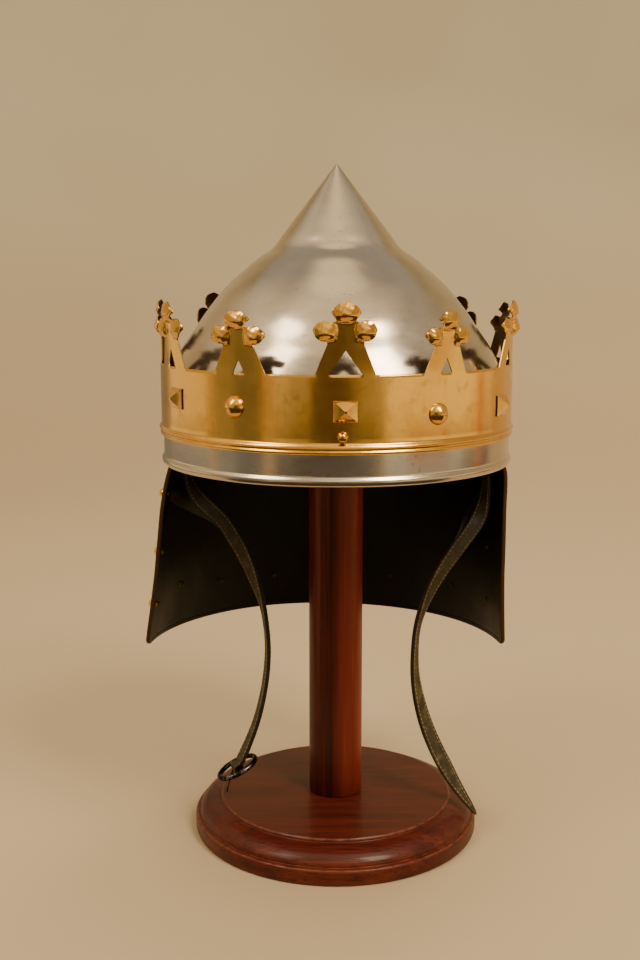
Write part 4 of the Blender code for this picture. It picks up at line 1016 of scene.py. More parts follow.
@dataclass
class Studs:
    """The raised studs across the crown's front, and the rivets that hold the crown."""

    radius: float = 115.6
    dome_radius: float = 6.6
    dome_height: float = 4.6
    pyramid_half: Flat = (7.1, 6.3)
    pyramid_height: float = 5.0
    rivet_z: float = 287.2
    rivet_turn: float = 1.1
    cap: tuple[Flat, ...] = (
        # a dome's line in shares of its radius and height, down to its peg
        (0.0, 1.06), (0.12, 1.0), (0.34, 0.90), (0.58, 0.70), (0.78, 0.46), (0.92, 0.22), (0.98, 0.08),
        (1.0, -0.04), (0.2, -0.04), (0.2, -0.5), (0.0, -0.5),
    )
    rows: tuple[tuple[str, float, float], ...] = (
        ("pyramid", -58.8, 304.0), ("dome", -31.9, 303.0), ("pyramid", 1.9, 302.2), ("dome", 30.5, 299.0),
        ("pyramid", 61.6, 299.2),
    )

    def spot(self, azimuth: float, height: float) -> tuple[Point, Point]:
        """A seat on the crown's face and the way it faces."""
        turn = math.radians(azimuth)
        out = (math.sin(turn), -math.cos(turn), 0.0)
        return (self.radius * out[0], self.radius * out[1], height), out

    def pyramid(self) -> bpy.types.Object:
        """The part for a pyramid: four soft facets on a low square foot, its sides level and upright."""
        wide, tall = self.pyramid_half
        points, faces, rings = [], [], []
        for share, height in ((1.0, -0.2), (1.0, 0.25), (0.94, 0.75), (0.50, 0.58 * self.pyramid_height),
                              (0.10, 0.97 * self.pyramid_height)):
            ring = []
            for x, y in ((1, 1), (0, 1), (-1, 1), (-1, 0), (-1, -1), (0, -1), (1, -1), (1, 0)):
                pull = 0.97 if x == 0 or y == 0 else 1.0
                ring.append(len(points))
                points.append((pull * share * wide * x, pull * share * tall * y, height))
            rings.append(ring)
        for low, high in zip(rings, rings[1:]):
            faces += [[low[k], low[(k + 1) % 8], high[(k + 1) % 8], high[k]] for k in range(8)]
        faces += [rings[0][::-1], rings[-1]]
        return add_mesh("pyramid_part", points, faces, None, sharp=22)

    def build(self, lathe: Lathe, setter: NodeTool, finish: bpy.types.Material) -> None:
        """Builds and seats the studs."""
        line = [(a * self.dome_radius, b * self.dome_height) for a, b in self.cap]
        dome = lathe.turn("dome_part", line, 32, finish)
        pyramid = self.pyramid()
        kinds = {"dome": dome, "pyramid": pyramid}
        for kind, part in kinds.items():
            rows = [(n, a, z) for n, (k, a, z) in enumerate(self.rows, 1) if k == kind]
            piece = points_object(f"{kind}_studs", [self.spot(a, z) for _, a, z in rows])
            setter.apply(piece, {"Part": part, "Finish": finish, "Seed": SEED, "Size Spread": 0.02},
                         sharp=22 if kind == "pyramid" else None)
            seat(piece, Slot.BRASS, *[f"{kind}_stud_{n}" for n, _, _ in rows])
            bpy.data.objects.remove(part)


def points_object(name: str, spots: Sequence[tuple[Point, Point]]) -> bpy.types.Object:
    """Makes an object of loose points that carry the way they face.

    Args:
        name: the object's name.
        spots: place in millimetres, and direction.

    Returns:
        The object.
    """
    mesh = bpy.data.meshes.new(name)
    mesh.from_pydata([[c * MM for c in place] for place, _ in spots], [], [])
    layer = mesh.attributes.new("facing", "FLOAT_VECTOR", "POINT")
    layer.data.foreach_set("vector", np.array([list(out) for _, out in spots], np.float32).ravel())
    return new_object(name, mesh)


@dataclass
class NeckGuard:
    """The leather curtain round the back of the neck."""

    thickness: float = 2.8
    top_z: float = 282.0
    bottom_z: float = 126.0
    lap_radius: float = 112.0
    bottom_radius: float = 124.0
    drift: Flat = (-6.8, -8.0)
    half_angle: float = 85.5
    corner: float = 7.0
    edge_round: float = 1.1
    burnished: float = 0.7          # how far in from the edge the hide is burnished dark
    crease_in: float = 3.6
    crease_depth: float = 0.35
    crease_half: float = 0.55
    bend_below: float = 262.0       # under this height the hide bends softly
    wave_below: float = 250.0       # and under this one it starts to wave
    wave_depths: Flat = (0.8, 0.4)
    steps: tuple[float, ...] = (0.0, 0.25, 0.6, 1.1, 1.8, 2.5, 3.0, 3.6, 4.2, 4.9, 6.0, 8.0)
    rows: tuple[tuple[float, float, float], ...] = (
        # share of the height, share by which the radius has grown, share of the drift
        (1.000, 0.000, 0.00), (0.840, 0.000, 0.00), (0.795, 0.300, -0.20), (0.730, 0.440, -0.02),
        (0.615, 0.520, 0.28), (0.315, 0.670, 0.62), (0.155, 0.830, 0.82), (0.045, 0.960, 0.96),
        (0.000, 1.000, 1.00),
    )

    def row(self, z: float) -> tuple[float, float, float]:
        """The outer radius at a height, and the drift of its centre in X and Y."""
        heights = [self.bottom_z + r[0] * (self.top_z - self.bottom_z) for r in self.rows][::-1]
        grown = float(np.interp(z, heights, [r[1] for r in self.rows][::-1]))
        share = float(np.interp(z, heights, [r[2] for r in self.rows][::-1]))
        radius = self.lap_radius + grown * (self.bottom_radius - self.lap_radius)
        return radius, share * self.drift[0], share * self.drift[1]

    def soft_row(self, z: float) -> tuple[float, float, float]:
        """The row at a height, smoothed over a few millimetres so that the hide bends without a fold."""
        if z > self.bend_below:
            return self.row(z)
        near = [self.row(z + step) for step in (-5, -3, -1, 1, 3, 5)]
        return tuple(float(np.mean([r[k] for r in near])) for k in range(3))

    def at(self, azimuth: float, z: float, depth: float, soft: bool = False) -> Point:
        """A point depth below the outer face. Azimuth is in degrees from straight behind."""
        radius, x, y = self.soft_row(z) if soft else self.row(z)
        turn = math.radians(azimuth)
        return (x + (radius - depth) * math.sin(turn), y + (radius - depth) * math.cos(turn), z)

    def build(self, finish: bpy.types.Material) -> None:
        """Builds and seats the guard: two faces, rounded cut edges and a crease run along the border."""
        degree = self.bottom_radius * math.radians(1.0)
        ends = [self.half_angle - s / degree for s in self.steps]
        middle = np.linspace(-ends[-1], ends[-1], 120)[1:-1]
        columns = [-a for a in ends] + list(middle) + ends[::-1]
        heights = [self.bottom_z + s for s in self.steps]
        heights += list(np.linspace(self.bottom_z + 10.5, self.top_z, 64))
        points: list[Point] = []
        marks: list[float] = []
        rng = np.random.default_rng(SEED)
        phases = rng.uniform(0, 6.28, 6)
        for side in (0, 1):
            for azimuth in columns:
                from_side = (self.half_angle - abs(azimuth)) * degree
                inward = max(0.0, self.corner - from_side)
                lift = self.corner - math.sqrt(max(0.0, self.corner ** 2 - inward ** 2))
                for z in heights:
                    blend = max(0.0, 1 - (z - self.bottom_z) / (4 * self.corner))
                    height = z + lift * blend
                    from_edge = min(from_side, z - self.bottom_z, self.top_z - z + 0.4)
                    gap = max(0.0, self.edge_round - from_edge)
                    pull = self.edge_round - math.sqrt(max(0.0, self.edge_round ** 2 - gap ** 2))
                    crease = math.exp(-((from_edge - self.crease_in) / self.crease_half) ** 2)
                    hang = min(1.0, max(0.0, (self.wave_below - height) / 60))
                    broad = math.sin(math.radians(azimuth * 2.1) + phases[0])
                    fine = math.sin(math.radians(azimuth * 5.3) + phases[1] + height / 40)
                    wave = hang * (self.wave_depths[0] * broad + self.wave_depths[1] * fine)
                    sink = pull + self.crease_depth * crease
                    depth = wave + (sink if side == 0 else self.thickness - sink)
                    points.append(self.at(azimuth, height, depth, soft=True))
                    marks.append(1.0 if from_edge < self.burnished else 0.0)
        count, rows = len(columns), len(heights)
        faces = []
        for side in (0, count * rows):
            for i in range(count - 1):
                for j in range(rows - 1):
                    a = side + i * rows + j
                    faces.append([a, a + 1, a + rows + 1, a + rows])
        border = [i * rows for i in range(count)] + [(count - 1) * rows + j for j in range(1, rows)]
        border += [i * rows + rows - 1 for i in range(count - 2, -1, -1)] + list(range(rows - 2, 0, -1))
        back = count * rows
        faces += [[a, b, back + b, back + a] for a, b in zip(border, border[1:] + border[:1])]
        piece = add_mesh("neck_guard", points, faces, finish, marks={"cut_edge": marks})
        seat(piece, Slot.GUARD, "neck_guard")


@dataclass
class Rivets:
    """The brass rivets of the neck guard and the crown."""

    guard: NeckGuard
    head_radius: float = 3.4
    head_height: float = 3.2
    shank_radius: float = 1.8
    proud: float = 0.9
    gap: float = 0.3
    ply: float = 1.3
    lap_z: float = 270.3
    skull_radius: float = 114.0
    laps: tuple[float, ...] = (-77.0, -38.5, 0.0, 38.5, 77.0)
    border: tuple[tuple[str, float, float], ...] = (
        ("edge_rivet_right_1", -82.0, 231.0), ("edge_rivet_right_2", -82.0, 190.6),
        ("hem_rivet_1", -82.0, 154.0), ("hem_rivet_2", -63.0, 158.5),
        ("hem_rivet_3", -42.0, 152.5), ("hem_rivet_4", -20.0, 151.0),
        ("hem_rivet_5", 3.0, 151.5), ("hem_rivet_6", 24.5, 151.0), ("hem_rivet_7", 51.0, 152.0),
        ("hem_rivet_8", 71.5, 151.5), ("edge_rivet_left_2", 71.5, 189.5), ("edge_rivet_left_1", 71.5, 231.0),
    )

    head: tuple[Flat, ...] = (
        (0.0, 1.0), (0.30, 0.97), (0.58, 0.84), (0.80, 0.58), (0.93, 0.30), (1.0, 0.04), (0.97, -0.03),
    )

    def part(self, lathe: Lathe, grip: float, finish: bpy.types.Material) -> bpy.types.Object:
        """A domed rivet with a hammered shank end."""
        line = [(a * self.head_radius, b * self.head_height) for a, b in self.head]
        end = -grip - self.proud
        line += [(self.shank_radius, -0.1), (self.shank_radius, end + 0.5), (0.75 * self.shank_radius, end),
                 (0.0, end - 0.05)]
        # painted shade: the shank below the head is marked to turn brown, for the dark it lies in, with some
        # tarnish
        return lathe.turn("rivet_part", line, 20, finish, tarnish_and_shade_below=-0.5)

    def groups(self, studs: Studs) -> dict[str, tuple[float, list[str], list[tuple[Point, Point]]]]:
        """The rivets by kind: grip, nodes, and seats with their directions."""
        lap_grip = self.skull_radius + self.gap - (self.guard.lap_radius - self.guard.thickness)
        laps = []
        for azimuth in self.laps:
            turn = math.radians(azimuth)
            out = (math.sin(turn), math.cos(turn), 0.0)
            reach = self.skull_radius + 0.5 * self.gap
            laps.append(((reach * out[0], reach * out[1], self.lap_z), out))
        rims, names = [], []
        for name, azimuth, z in self.border:
            turn = math.radians(azimuth)
            slope = (self.guard.row(z + 4)[0] - self.guard.row(z - 4)[0]) / 8
            out = Vector((math.sin(turn), math.cos(turn), -slope)).normalized()
            place = Vector(self.guard.at(azimuth, z, 0.0)) + 0.3 * self.gap * out
            rims.append((tuple(place), tuple(out)))
            names.append(name)
        crown = [studs.spot(studs.rivet_turn + turn, studs.rivet_z) for turn in (0, 180)]
        return {
            "lap_rivets": (lap_grip + self.ply, [f"lap_rivet_{k}" for k in range(1, 6)], laps),
            "border_rivets": (self.guard.thickness + self.gap, names, rims),
            "crown_rivets": (3.2, ["crown_rivet_front", "crown_rivet_back"], crown),
        }

    def build(self, lathe: Lathe, setter: NodeTool, studs: Studs, finish: bpy.types.Material) -> None:
        """Builds and seats the rivets."""
        for name, (grip, nodes, spots) in self.groups(studs).items():
            part = self.part(lathe, grip, finish)
            piece = points_object(name, spots)
            setter.apply(piece, {"Part": part, "Finish": finish, "Seed": SEED, "Size Spread": 0.05})
            seat(piece, Slot.BRASS, *nodes)
            bpy.data.objects.remove(part)


def unit(vector: np.ndarray) -> np.ndarray:
    """The vector at length one."""
    return vector / np.linalg.norm(vector)


@dataclass
class Strap:
    """A chin strap of two plies, sewn together below a fork whose two tails are riveted to the helmet."""

    name: str
    side: int
    rows: tuple[tuple[float, float, float, float], ...]
    guard: NeckGuard
    tail_azimuth: float
    loop: bool
    width: float = 10.4
    ply: float = 1.3
    loop_width: float = 8.8
    wire: float = 1.7
    lap_azimuth: float = 77.0
    lap_z: float = 270.3
    tail_z: float = 231.0
    stitch_in: float = 1.5
    stitch: Point = (2.9, 2.3, 0.3)     # pitch, length and radius of a stitch
    rivet_room: float = 2.2         # gaps between a tail and what it is riveted to
    lead: float = 0.42              # share of a tail over which it keeps the way that it leaves its rivet
    trail: float = 0.38             # share over which it takes up the sewn part's way
    upper_way: Point = (0.0, 0.0, -1.75)
    lower_way: Point = (0.25, 0.55, -0.55)  # inwards, back along the guard, and down
    bar_from: float = 6.3           # from the last row to the middle of the loop
    tip_length: float = 40.0
    gap: float = 0.3

    def main(self, steps: int = 8) -> list[Station]:
        """The stations below the fork: centre, width direction and grain direction."""
        path = spline(self.rows, steps)
        stations = []
        for k, row in enumerate(path):
            along = unit(path[min(k + 1, len(path) - 1)][:3] - path[max(k - 1, 0)][:3])
            turn = math.radians(row[3])
            face = np.array([self.side * math.sin(turn), -math.cos(turn), 0.0])
            across = unit(np.cross(along, face))
            stations.append((row[:3], across, unit(np.cross(across, along))))
        return stations

    def seats(self) -> list[tuple[np.ndarray, np.ndarray, np.ndarray]]:
        """Seat, outward direction and lead of the upper and the lower tail."""
        lap = math.radians(self.side * self.lap_azimuth)
        out = np.array([math.sin(lap), math.cos(lap), 0.0])
        inside = self.guard.thickness + 0.5 * self.ply + self.rivet_room * self.gap
        radius = self.guard.lap_radius - inside
        upper = (np.array([radius * out[0], radius * out[1], self.lap_z]), out, np.array(self.upper_way))
        turn = math.radians(self.tail_azimuth)
        low_out = np.array([math.sin(turn), math.cos(turn), 0.0])
        inwards, back, down = self.lower_way
        lead = np.array([-self.side * (math.cos(turn) + inwards), math.sin(abs(turn)) * back, down])
        return [upper, (np.array(self.guard.at(self.tail_azimuth, self.tail_z, inside)), low_out, lead)]

    def tail(self, seat_row: tuple, joint: Station, along: np.ndarray, count: int = 30) -> list[Station]:
        """The stations of one tail, from its rivet to the fork."""
        first, out, lead_way = seat_row
        centre, _, grain = joint
        reach = np.linalg.norm(centre - first)
        lead = first + self.lead * reach * lead_way
        trail = centre - self.trail * reach * along
        stations = []
        for k in range(count):
            t = k / count
            u = 1 - t
            spot = u ** 3 * first + 3 * u * u * t * lead + 3 * u * t * t * trail + t ** 3 * centre
            speed = unit(u * u * (lead - first) + 2 * u * t * (trail - lead) + t * t * (centre - trail))
            blend = t * t * (3 - 2 * t)
            face = unit((1 - blend) * -out + blend * grain)
            across = unit(np.cross(speed, face))
            stations.append((spot, across, unit(np.cross(across, speed))))
        return stations

    def section(self, low: float, high: float, width: float) -> list[tuple[float, float, float]]:
        """Points round one ply: reach across, level, and whether it is a cut edge."""
        half, soft = 0.5 * width, min(0.35 * (high - low), 0.25 * width)
        nook = 0.3 * soft
        under = [(-half + soft, low, 0.0), (-0.3 * half, low, 0.0), (0.3 * half, low, 0.0),
                 (half - soft, low, 0.0), (half - nook, low + nook, 1.0), (half, low + soft, 1.0)]
        over = [(half, high - soft, 1.0), (half - nook, high - nook, 1.0), (half - soft, high, 0.0),
                (0.3 * half, high, 0.0), (-0.3 * half, high, 0.0), (-half + soft, high, 0.0)]
        edge = [(-half + nook, high - nook, 1.0), (-half, high - soft, 1.0), (-half, low + soft, 1.0),
                (-half + nook, low + nook, 1.0)]
        return under + over + edge

    def build(self, finish: bpy.types.Material, stitcher: NodeTool, thread: bpy.types.Material) -> Station:
        """Builds and seats the strap and its stitches.

        Args:
            finish: the leather.
            stitcher: the tree that lays stitches.
            thread: the stitches' material.

        Returns:
            The station at the buckle's bar, or at the tip.
        """
        main = self.main()
        along = unit(main[1][0] - main[0][0])
        tails = [self.tail(row, main[0], along) for row in self.seats()]
        count = len(main)
        opening = [0.0] * count
        widths = [self.width] * count
        bar = main[-1]
        if self.loop:
            down = unit(main[-1][0] - main[-2][0])
            centre, across, grain = main[-1]
            hold = self.wire + self.gap + 0.15
            for distance in np.linspace(0.5, 10.2, 26):
                part = max(0.0, 1 - ((distance - self.bar_from) / 3.0) ** 2) ** 0.7
                main.append((centre + distance * down, across, grain))
                opening.append(part * hold)
                widths.append(self.width + (self.loop_width - self.width) * min(1.0, distance / 3.0))
            bar = (centre + self.bar_from * down, across, grain)
        else:
            run = np.cumsum([0.0] + [np.linalg.norm(b[0] - a[0]) for a, b in zip(main, main[1:])])
            for k, at in enumerate(run[-1] - run):
                widths[k] = self.width * min(1.0, 0.10 + 0.90 * (at / self.tip_length) ** 0.62)
        points: list[Point] = []
        faces: list[list[int]] = []
        marks: list[float] = []
        lines: list[list[Point]] = []
        for tail, ply_side in zip(tails, (1, -1)):
            stations = tail + main
            shares = [0.0] * len(tail) + opening
            all_widths = [self.width] * len(tail) + widths
            start = len(points)
            stitch: dict[int, list[Point]] = {-1: [], 1: []}
            for k, ((centre, across, grain), share, width) in enumerate(zip(stations, shares, all_widths)):
                low, high = sorted((ply_side * (share + 0.02), ply_side * (share + self.ply)))
                ease = max(0.0, 1 - k / len(tail))
                low = -0.5 * self.ply * ease + low * (1 - ease)
                high = 0.5 * self.ply * ease + high * (1 - ease)
                for reach, level, mark in self.section(low, high, width):
                    points.append(tuple(centre + reach * across + level * grain))
                    marks.append(mark)
                top = (high if ply_side > 0 else low) + 0.05 * ply_side
                if k > 3 and (not self.loop or k < len(tail) + count - 2) and width > 0.4 * self.width:
                    for way in (-1, 1):
                        spot = centre + way * (0.5 * width - self.stitch_in) * across + top * grain
                        stitch[way].append(tuple(spot))
            sides = 16
            for k in range(len(stations) - 1):
                for j in range(sides):
                    a, b = start + k * sides + j, start + k * sides + (j + 1) % sides
                    faces.append([a, b, b + sides, a + sides])
            faces.append([start + j for j in range(sides)][::-1])
            end = start + (len(stations) - 1) * sides
            faces.append([end + j for j in range(sides)])
            lines += [line for line in stitch.values() if len(line) > 2]
        mesh_piece = add_mesh(self.name, points, faces, finish, marks={"cut_edge": marks}, sharp=60)
        seat(mesh_piece, Slot.STRAP, self.name)
        self.sew(lines, stitcher, thread)
        return bar

    def sew(self, lines: Sequence[Sequence[Point]], stitcher: NodeTool, thread: bpy.types.Material) -> None:
        """Lays the stitches along lines."""
        points, edges = [], []
        for line in lines:
            edges += [(len(points) + k, len(points) + k + 1) for k in range(len(line) - 1)]
            points += [[c * MM for c in p] for p in line]
        mesh = bpy.data.meshes.new(f"{self.name}_stitches")
        mesh.from_pydata(points, edges, [])
        pitch, length, radius = (size * MM for size in self.stitch)
        piece = stitcher.apply(new_object(mesh.name, mesh), {
            "Pitch": pitch, "Thread Length": length, "Thread Radius": radius, "Seed": SEED, "Finish": thread})
        seat(piece, Slot.STRAP)


def tube(path: Sequence[np.ndarray], radius: Sequence[float], sides: int, ring: bool,
         normal: np.ndarray) -> tuple[list[Point], list[list[int]]]:
    """A round bar along a path.

    Args:
        path: its centre line.
        radius: its radius at each point.
        sides: how many sides its section has.
        ring: whether it closes on itself.
        normal: the direction that its section is set out from.

    Returns:
        Points and faces.
    """
    points: list[Point] = []
    count = len(path)
    for k in range(count):
        ahead = path[(k + 1) % count] if ring else path[min(k + 1, count - 1)]
        behind = path[k - 1] if ring else path[max(k - 1, 0)]
        along = unit(ahead - behind)
        side = unit(np.cross(along, normal))
        up = np.cross(side, along)
        for j in range(sides):
            turn = 2 * math.pi * j / sides
            points.append(tuple(path[k] + radius[k] * (math.cos(turn) * side + math.sin(turn) * up)))
    faces = []
    for k in range(count if ring else count - 1):
        for j in range(sides):
            a, b = k * sides + j, k * sides + (j + 1) % sides
            c, d = ((k + 1) % count) * sides + j, ((k + 1) % count) * sides + (j + 1) % sides
            faces.append([a, b, d, c])
    if not ring:
        faces.append(list(range(sides))[::-1])
        faces.append(list(range((count - 1) * sides, count * sides)))
    return points, faces


@dataclass
class Buckle:
    """The oval wire buckle with a bar across it, and its loose prong."""

    wire: float = 1.7
    half_length: float = 13.5
    half_width: float = 9.2
    prong_radius: float = 0.8
    prong_length: float = 17.0
    loop_width: float = 8.8
    gap: float = 0.3
    lie: Point = (-0.93, 0.0, -0.37)
    hang: Point = (-0.30, 0.0, -0.95)

    def build(self, bar: Station, finish: bpy.types.Material) -> None:
        """Builds and seats the frame and the prong, hung on the strap's loop."""
        centre, across, _ = bar
        long_axis = np.array(self.lie)
        long_axis = unit(long_axis - np.dot(long_axis, across) * across)
        normal = unit(np.cross(long_axis, across))
        ring = []
        for k in range(72):
            turn = 2 * math.pi * k / 72
            ring.append(centre + self.half_length * math.cos(turn) * long_axis
                        + self.half_width * math.sin(turn) * across)
        points, faces = tube(ring, [self.wire] * 72, 16, True, normal)
        rod = [centre + t * self.half_width * across for t in np.linspace(-1, 1, 9)]
        more, more_faces = tube(rod, [0.8 * self.wire] * 9, 14, False, normal)
        faces += [[len(points) + i for i in f] for f in more_faces]
        piece = add_mesh("buckle_frame", points + more, faces, finish, sharp=70)
        seat(piece, Slot.IRON, "buckle_frame")
        side = centre + (0.5 * self.loop_width + 2 * self.gap + self.prong_radius) * across
        reach = 0.8 * self.wire + 2 * self.gap + self.prong_radius
        hang = np.array(self.hang)
        hang = unit(hang - np.dot(hang, across) * across)
        sideways = np.cross(across, hang)
        eye = [side + reach * (math.cos(a) * hang + math.sin(a) * sideways)
               for a in np.radians(np.linspace(-300, -20, 22))]
        start = side + (reach + 0.5) * hang + 0.1 * sideways
        shaft = [start + t * self.prong_length * (hang + 0.05 * math.sin(3.0 * t) * sideways)
                 for t in np.linspace(0.05, 1, 14)]
        path = eye + shaft
        radii = [self.prong_radius] * len(eye)
        radii += [self.prong_radius * (1 - 0.35 * t) for t in np.linspace(0, 1, len(shaft))]
        points, faces = tube(path, radii, 12, False, across)
        piece = add_mesh("buckle_prong", points, faces, finish, sharp=60)
        seat(piece, Slot.IRON, "buckle_prong")


@dataclass
class Stand:
    """The turned base and the post that carries the helmet."""

    base_radius: float = 97.5
    base_height: float = 23.5
    post_radius: float = 18.2
    tenon_radius: float = 9.0
    tenon_depth: float = 14.0
    gap: float = 0.3
    post_top: tuple[Flat, Flat] = ((13.2, 425.6), (18.2, 419.2))
    rows: tuple[Flat, ...] = (
        (0.806, 1.000), (0.815, 0.965), (0.816, 0.905), (0.830, 0.885), (0.858, 0.872), (0.890, 0.838),
        (0.920, 0.775), (0.945, 0.690), (0.962, 0.600), (0.969, 0.520), (0.964, 0.482), (0.972, 0.466),
        (0.992, 0.452), (1.000, 0.400), (1.000, 0.080), (0.994, 0.020), (0.985, 0.000),
    )

    def build(self, lathe: Lathe, upright: bpy.types.Material, across: bpy.types.Material) -> None:
        """Builds and seats the base and the post."""
        floor = self.base_height - self.tenon_depth - self.gap
        hole = self.tenon_radius + self.gap
        line = [(0.0, floor), (hole, floor), (hole, self.base_height)]
        line += rounded([(a * self.base_radius, b * self.base_height) for a, b in self.rows], 0.6, 3)
        line += [(0.0, 0.0)]
        base = lathe.turn("stand_base", line, 160, across, sharp=42)
        seat(base, Slot.WOOD, "stand_base")
        foot = self.base_height + self.gap
        (low_r, low_z), (high_r, high_z) = self.post_top
        top = [(0.0, low_z), (low_r, low_z), (high_r, high_z), (self.post_radius, high_z - 8)]
        body = rounded(top, 1.0, 3)
        body += [(self.post_radius, z) for z in np.linspace(high_z - 20, foot + 0.8, 30)]
        body += [(self.post_radius - 0.5, foot), (self.tenon_radius, foot),
                 (self.tenon_radius, self.base_height - self.tenon_depth),
                 (0.0, self.base_height - self.tenon_depth)]
        post = lathe.turn("stand_post", body, 72, upright, sharp=50)
        seat(post, Slot.WOOD, "stand_post")


@dataclass
class Studio:
    """The floor, the lights and the camera."""

    floor_radius: float = 1.35
    wall_radius: float = 2.6
    wall_height: float = 2.6
    cards: tuple[tuple[str, float, float, Flat, Flat, str, float, float], ...] = (
        # what the metal mirrors: name, from, to, one edge, other edge, tone, strength, soft share
        ("dim_card_behind_left", -165.0, -128.0, (1.1, 0.0), (1.1, 0.42), "#8C7E64", 1.0, 0.15),
        ("pale_card_left", -130.0, -86.0, (1.1, 0.15), (1.1, 0.42), "#ECD2A0", 1.2, 0.0),
        ("low_card_left", -130.0, -86.0, (1.1, 0.0), (1.1, 0.15), "#A08E7A", 1.0, 0.0),
        ("dusk_card_left", -80.0, -64.0, (1.1, 0.0), (1.1, 0.50), "#9E947C", 1.0, 0.0),
        ("dark_card_left", -64.0, -45.0, (1.1, 0.0), (1.1, 0.60), "#7C7464", 1.0, 0.0),
        ("dim_card_left", -38.0, -29.0, (1.1, 0.158), (1.1, 0.42), "#D2C2A2", 1.12, 0.0),
        ("dim_card_front_left", -29.0, -16.0, (1.1, 0.158), (1.1, 0.42), "#B4A484", 1.06, 0.0),
        ("low_card_front_left", -38.0, -15.5, (1.1, 0.0), (1.1, 0.158), "#5C5040", 1.0, 0.0),
        ("dark_card_front", -15.5, 7.0, (1.1, 0.158), (1.1, 0.62), "#60503F", 1.0, 0.0),
        ("low_card_front", -15.5, 27.0, (1.1, 0.0), (1.1, 0.138), "#6A6050", 1.0, 0.0),
        ("edge_card_front", -38.0, 27.0, (1.09, 0.138), (1.09, 0.16), "#42322A", 1.0, 0.0),
        ("shade_card_front", 7.0, 12.0, (1.1, 0.158), (1.1, 0.62), "#8A7A60", 1.0, 0.0),
        ("dim_card_front_right", 12.0, 29.0, (1.1, 0.158), (1.1, 0.42), "#B8A886", 1.0, 0.0),
        ("lit_card_right", 29.0, 96.0, (1.1, 0.15), (1.1, 0.42), "#F4DCA0", 1.4, 0.0),
        ("red_card_right", 96.0, 101.0, (1.1, 0.0), (1.1, 0.30), "#D8763C", 1.1, 0.0),
        ("lit_card_behind_right", 101.0, 112.0, (1.1, 0.15), (1.1, 0.42), "#F0D498", 1.1, 0.0),
        ("low_card_right", 30.0, 84.0, (1.12, 0.0), (1.12, 0.15), "#C6BAA0", 1.0, 0.0),
        ("low_card_behind_right", 84.0, 112.0, (1.12, 0.0), (1.12, 0.15), "#7A6858", 1.0, 0.0),
        ("red_edge_card_right", 42.0, 72.0, (1.09, 0.12), (1.09, 0.162), "#B04A20", 1.0, 0.0),
        ("dark_floor_card", -72.0, 72.0, (0.27, 0.002), (1.08, 0.002), "#3C2F20", 1.0, 0.0),
        ("pale_top_card", -180.0, 180.0, (0.0, 2.2), (0.62, 2.2), "#FADFB4", 1.4, 0.35),
        ("top_card_front", -120.0, 120.0, (0.3, 2.21), (1.5, 2.21), "#FADFB4", 1.15, 0.3),
        ("high_card_left", -138.0, -15.0, (2.1, 1.1), (0.9, 2.18), "#F6DCB4", 1.1, 0.3),
        ("high_card_front", -22.0, 34.0, (2.1, 1.0), (1.2, 2.16), "#FCE4B8", 1.3, 0.35),
        ("high_card_right", 15.0, 138.0, (2.1, 1.1), (1.2, 2.15), "#EED6B2", 0.66, 0.3),
    )
    lamps: tuple[tuple[str, float, float, float, Flat, float, str, bool], ...] = (
        # name, azimuth, height, distance, size, watts, tone, whether metal mirrors it
        ("panel_left", -55.0, 1.75, 1.35, (0.6, 0.9), 14.0, "#FFEACC", True),
        ("panel_right", 40.0, 1.75, 1.35, (0.6, 0.9), 31.0, "#FFEACC", True),
        ("panel_top", 180.0, 2.4, 0.5, (1.6, 1.6), 21.0, "#FFEDD4", False),
        ("panel_back", 150.0, 1.6, 1.8, (0.8, 1.2), 10.0, "#FFEACC", False),
    )
    lit_point: Point = (0.0, 0.0, 0.25)
    air: str = "#F2E4CC"
    air_strength: float = 0.52
    sensor: float = 36.0
    lens: float = 46.08375
    camera_place: Point = (-0.01076, -0.8138, 0.3831)
    camera_tilt: float = 9.79       # degrees down from level

    def sweep(self, paper: bpy.types.Material) -> None:
        """A round paper sweep: a flat floor that curves up into a wall on every side."""
        points, faces = [], []
        bend = self.wall_radius - self.floor_radius
        line = [(0.0, 0.0), (0.5, 0.0), (1.1, 0.0)]
        line += [(self.floor_radius + bend * math.sin(t), bend * (1 - math.cos(t)))
                 for t in np.linspace(0, math.pi / 2, 16)]
        line += [(self.wall_radius, self.wall_height)]
        steps = 96
        for radius, height in line:
            for k in range(steps):
                turn = 2 * math.pi * k / steps
                points.append((1000 * radius * math.cos(turn), 1000 * radius * math.sin(turn), 1000 * height))
        for row in range(len(line) - 1):
            for k in range(steps):
                a, b = row * steps + k, row * steps + (k + 1) % steps
                faces.append([a, b, b + steps, a + steps] if row else [a, b + steps, a + steps])
        floor = add_mesh("paper_sweep", points, faces, paper)

    def lamp(self, name: str, azimuth: float, height: float, distance: float, size: Flat, power: float,
             tone: str, mirrored: bool) -> None:
        """Adds a soft panel light that looks at the helmet.

        Args:
            name: the light's name.
            azimuth: degrees from the front towards the wearer's left.
            height: its height in metres.
            distance: how far out it stands in metres.
            size: its width and height in metres.
            power: its power in watts.
            tone: its colour.
            mirrored: whether shiny pieces mirror it.
        """
        data = bpy.data.lights.new(name, "AREA")
        data.shape = "RECTANGLE"
        data.size, data.size_y = size
        data.energy = power
        data.color = linear(tone)[:3]
        lamp = bpy.data.objects.new(name, data)
        turn = math.radians(azimuth)
        lamp.location = (distance * math.sin(turn), -distance * math.cos(turn), height)
        aim = Vector(self.lit_point) - lamp.location
        lamp.rotation_euler = aim.to_track_quat("-Z", "Y").to_euler()
        lamp.visible_camera = False
        lamp.visible_glossy = mirrored
        bpy.context.scene.collection.objects.link(lamp)

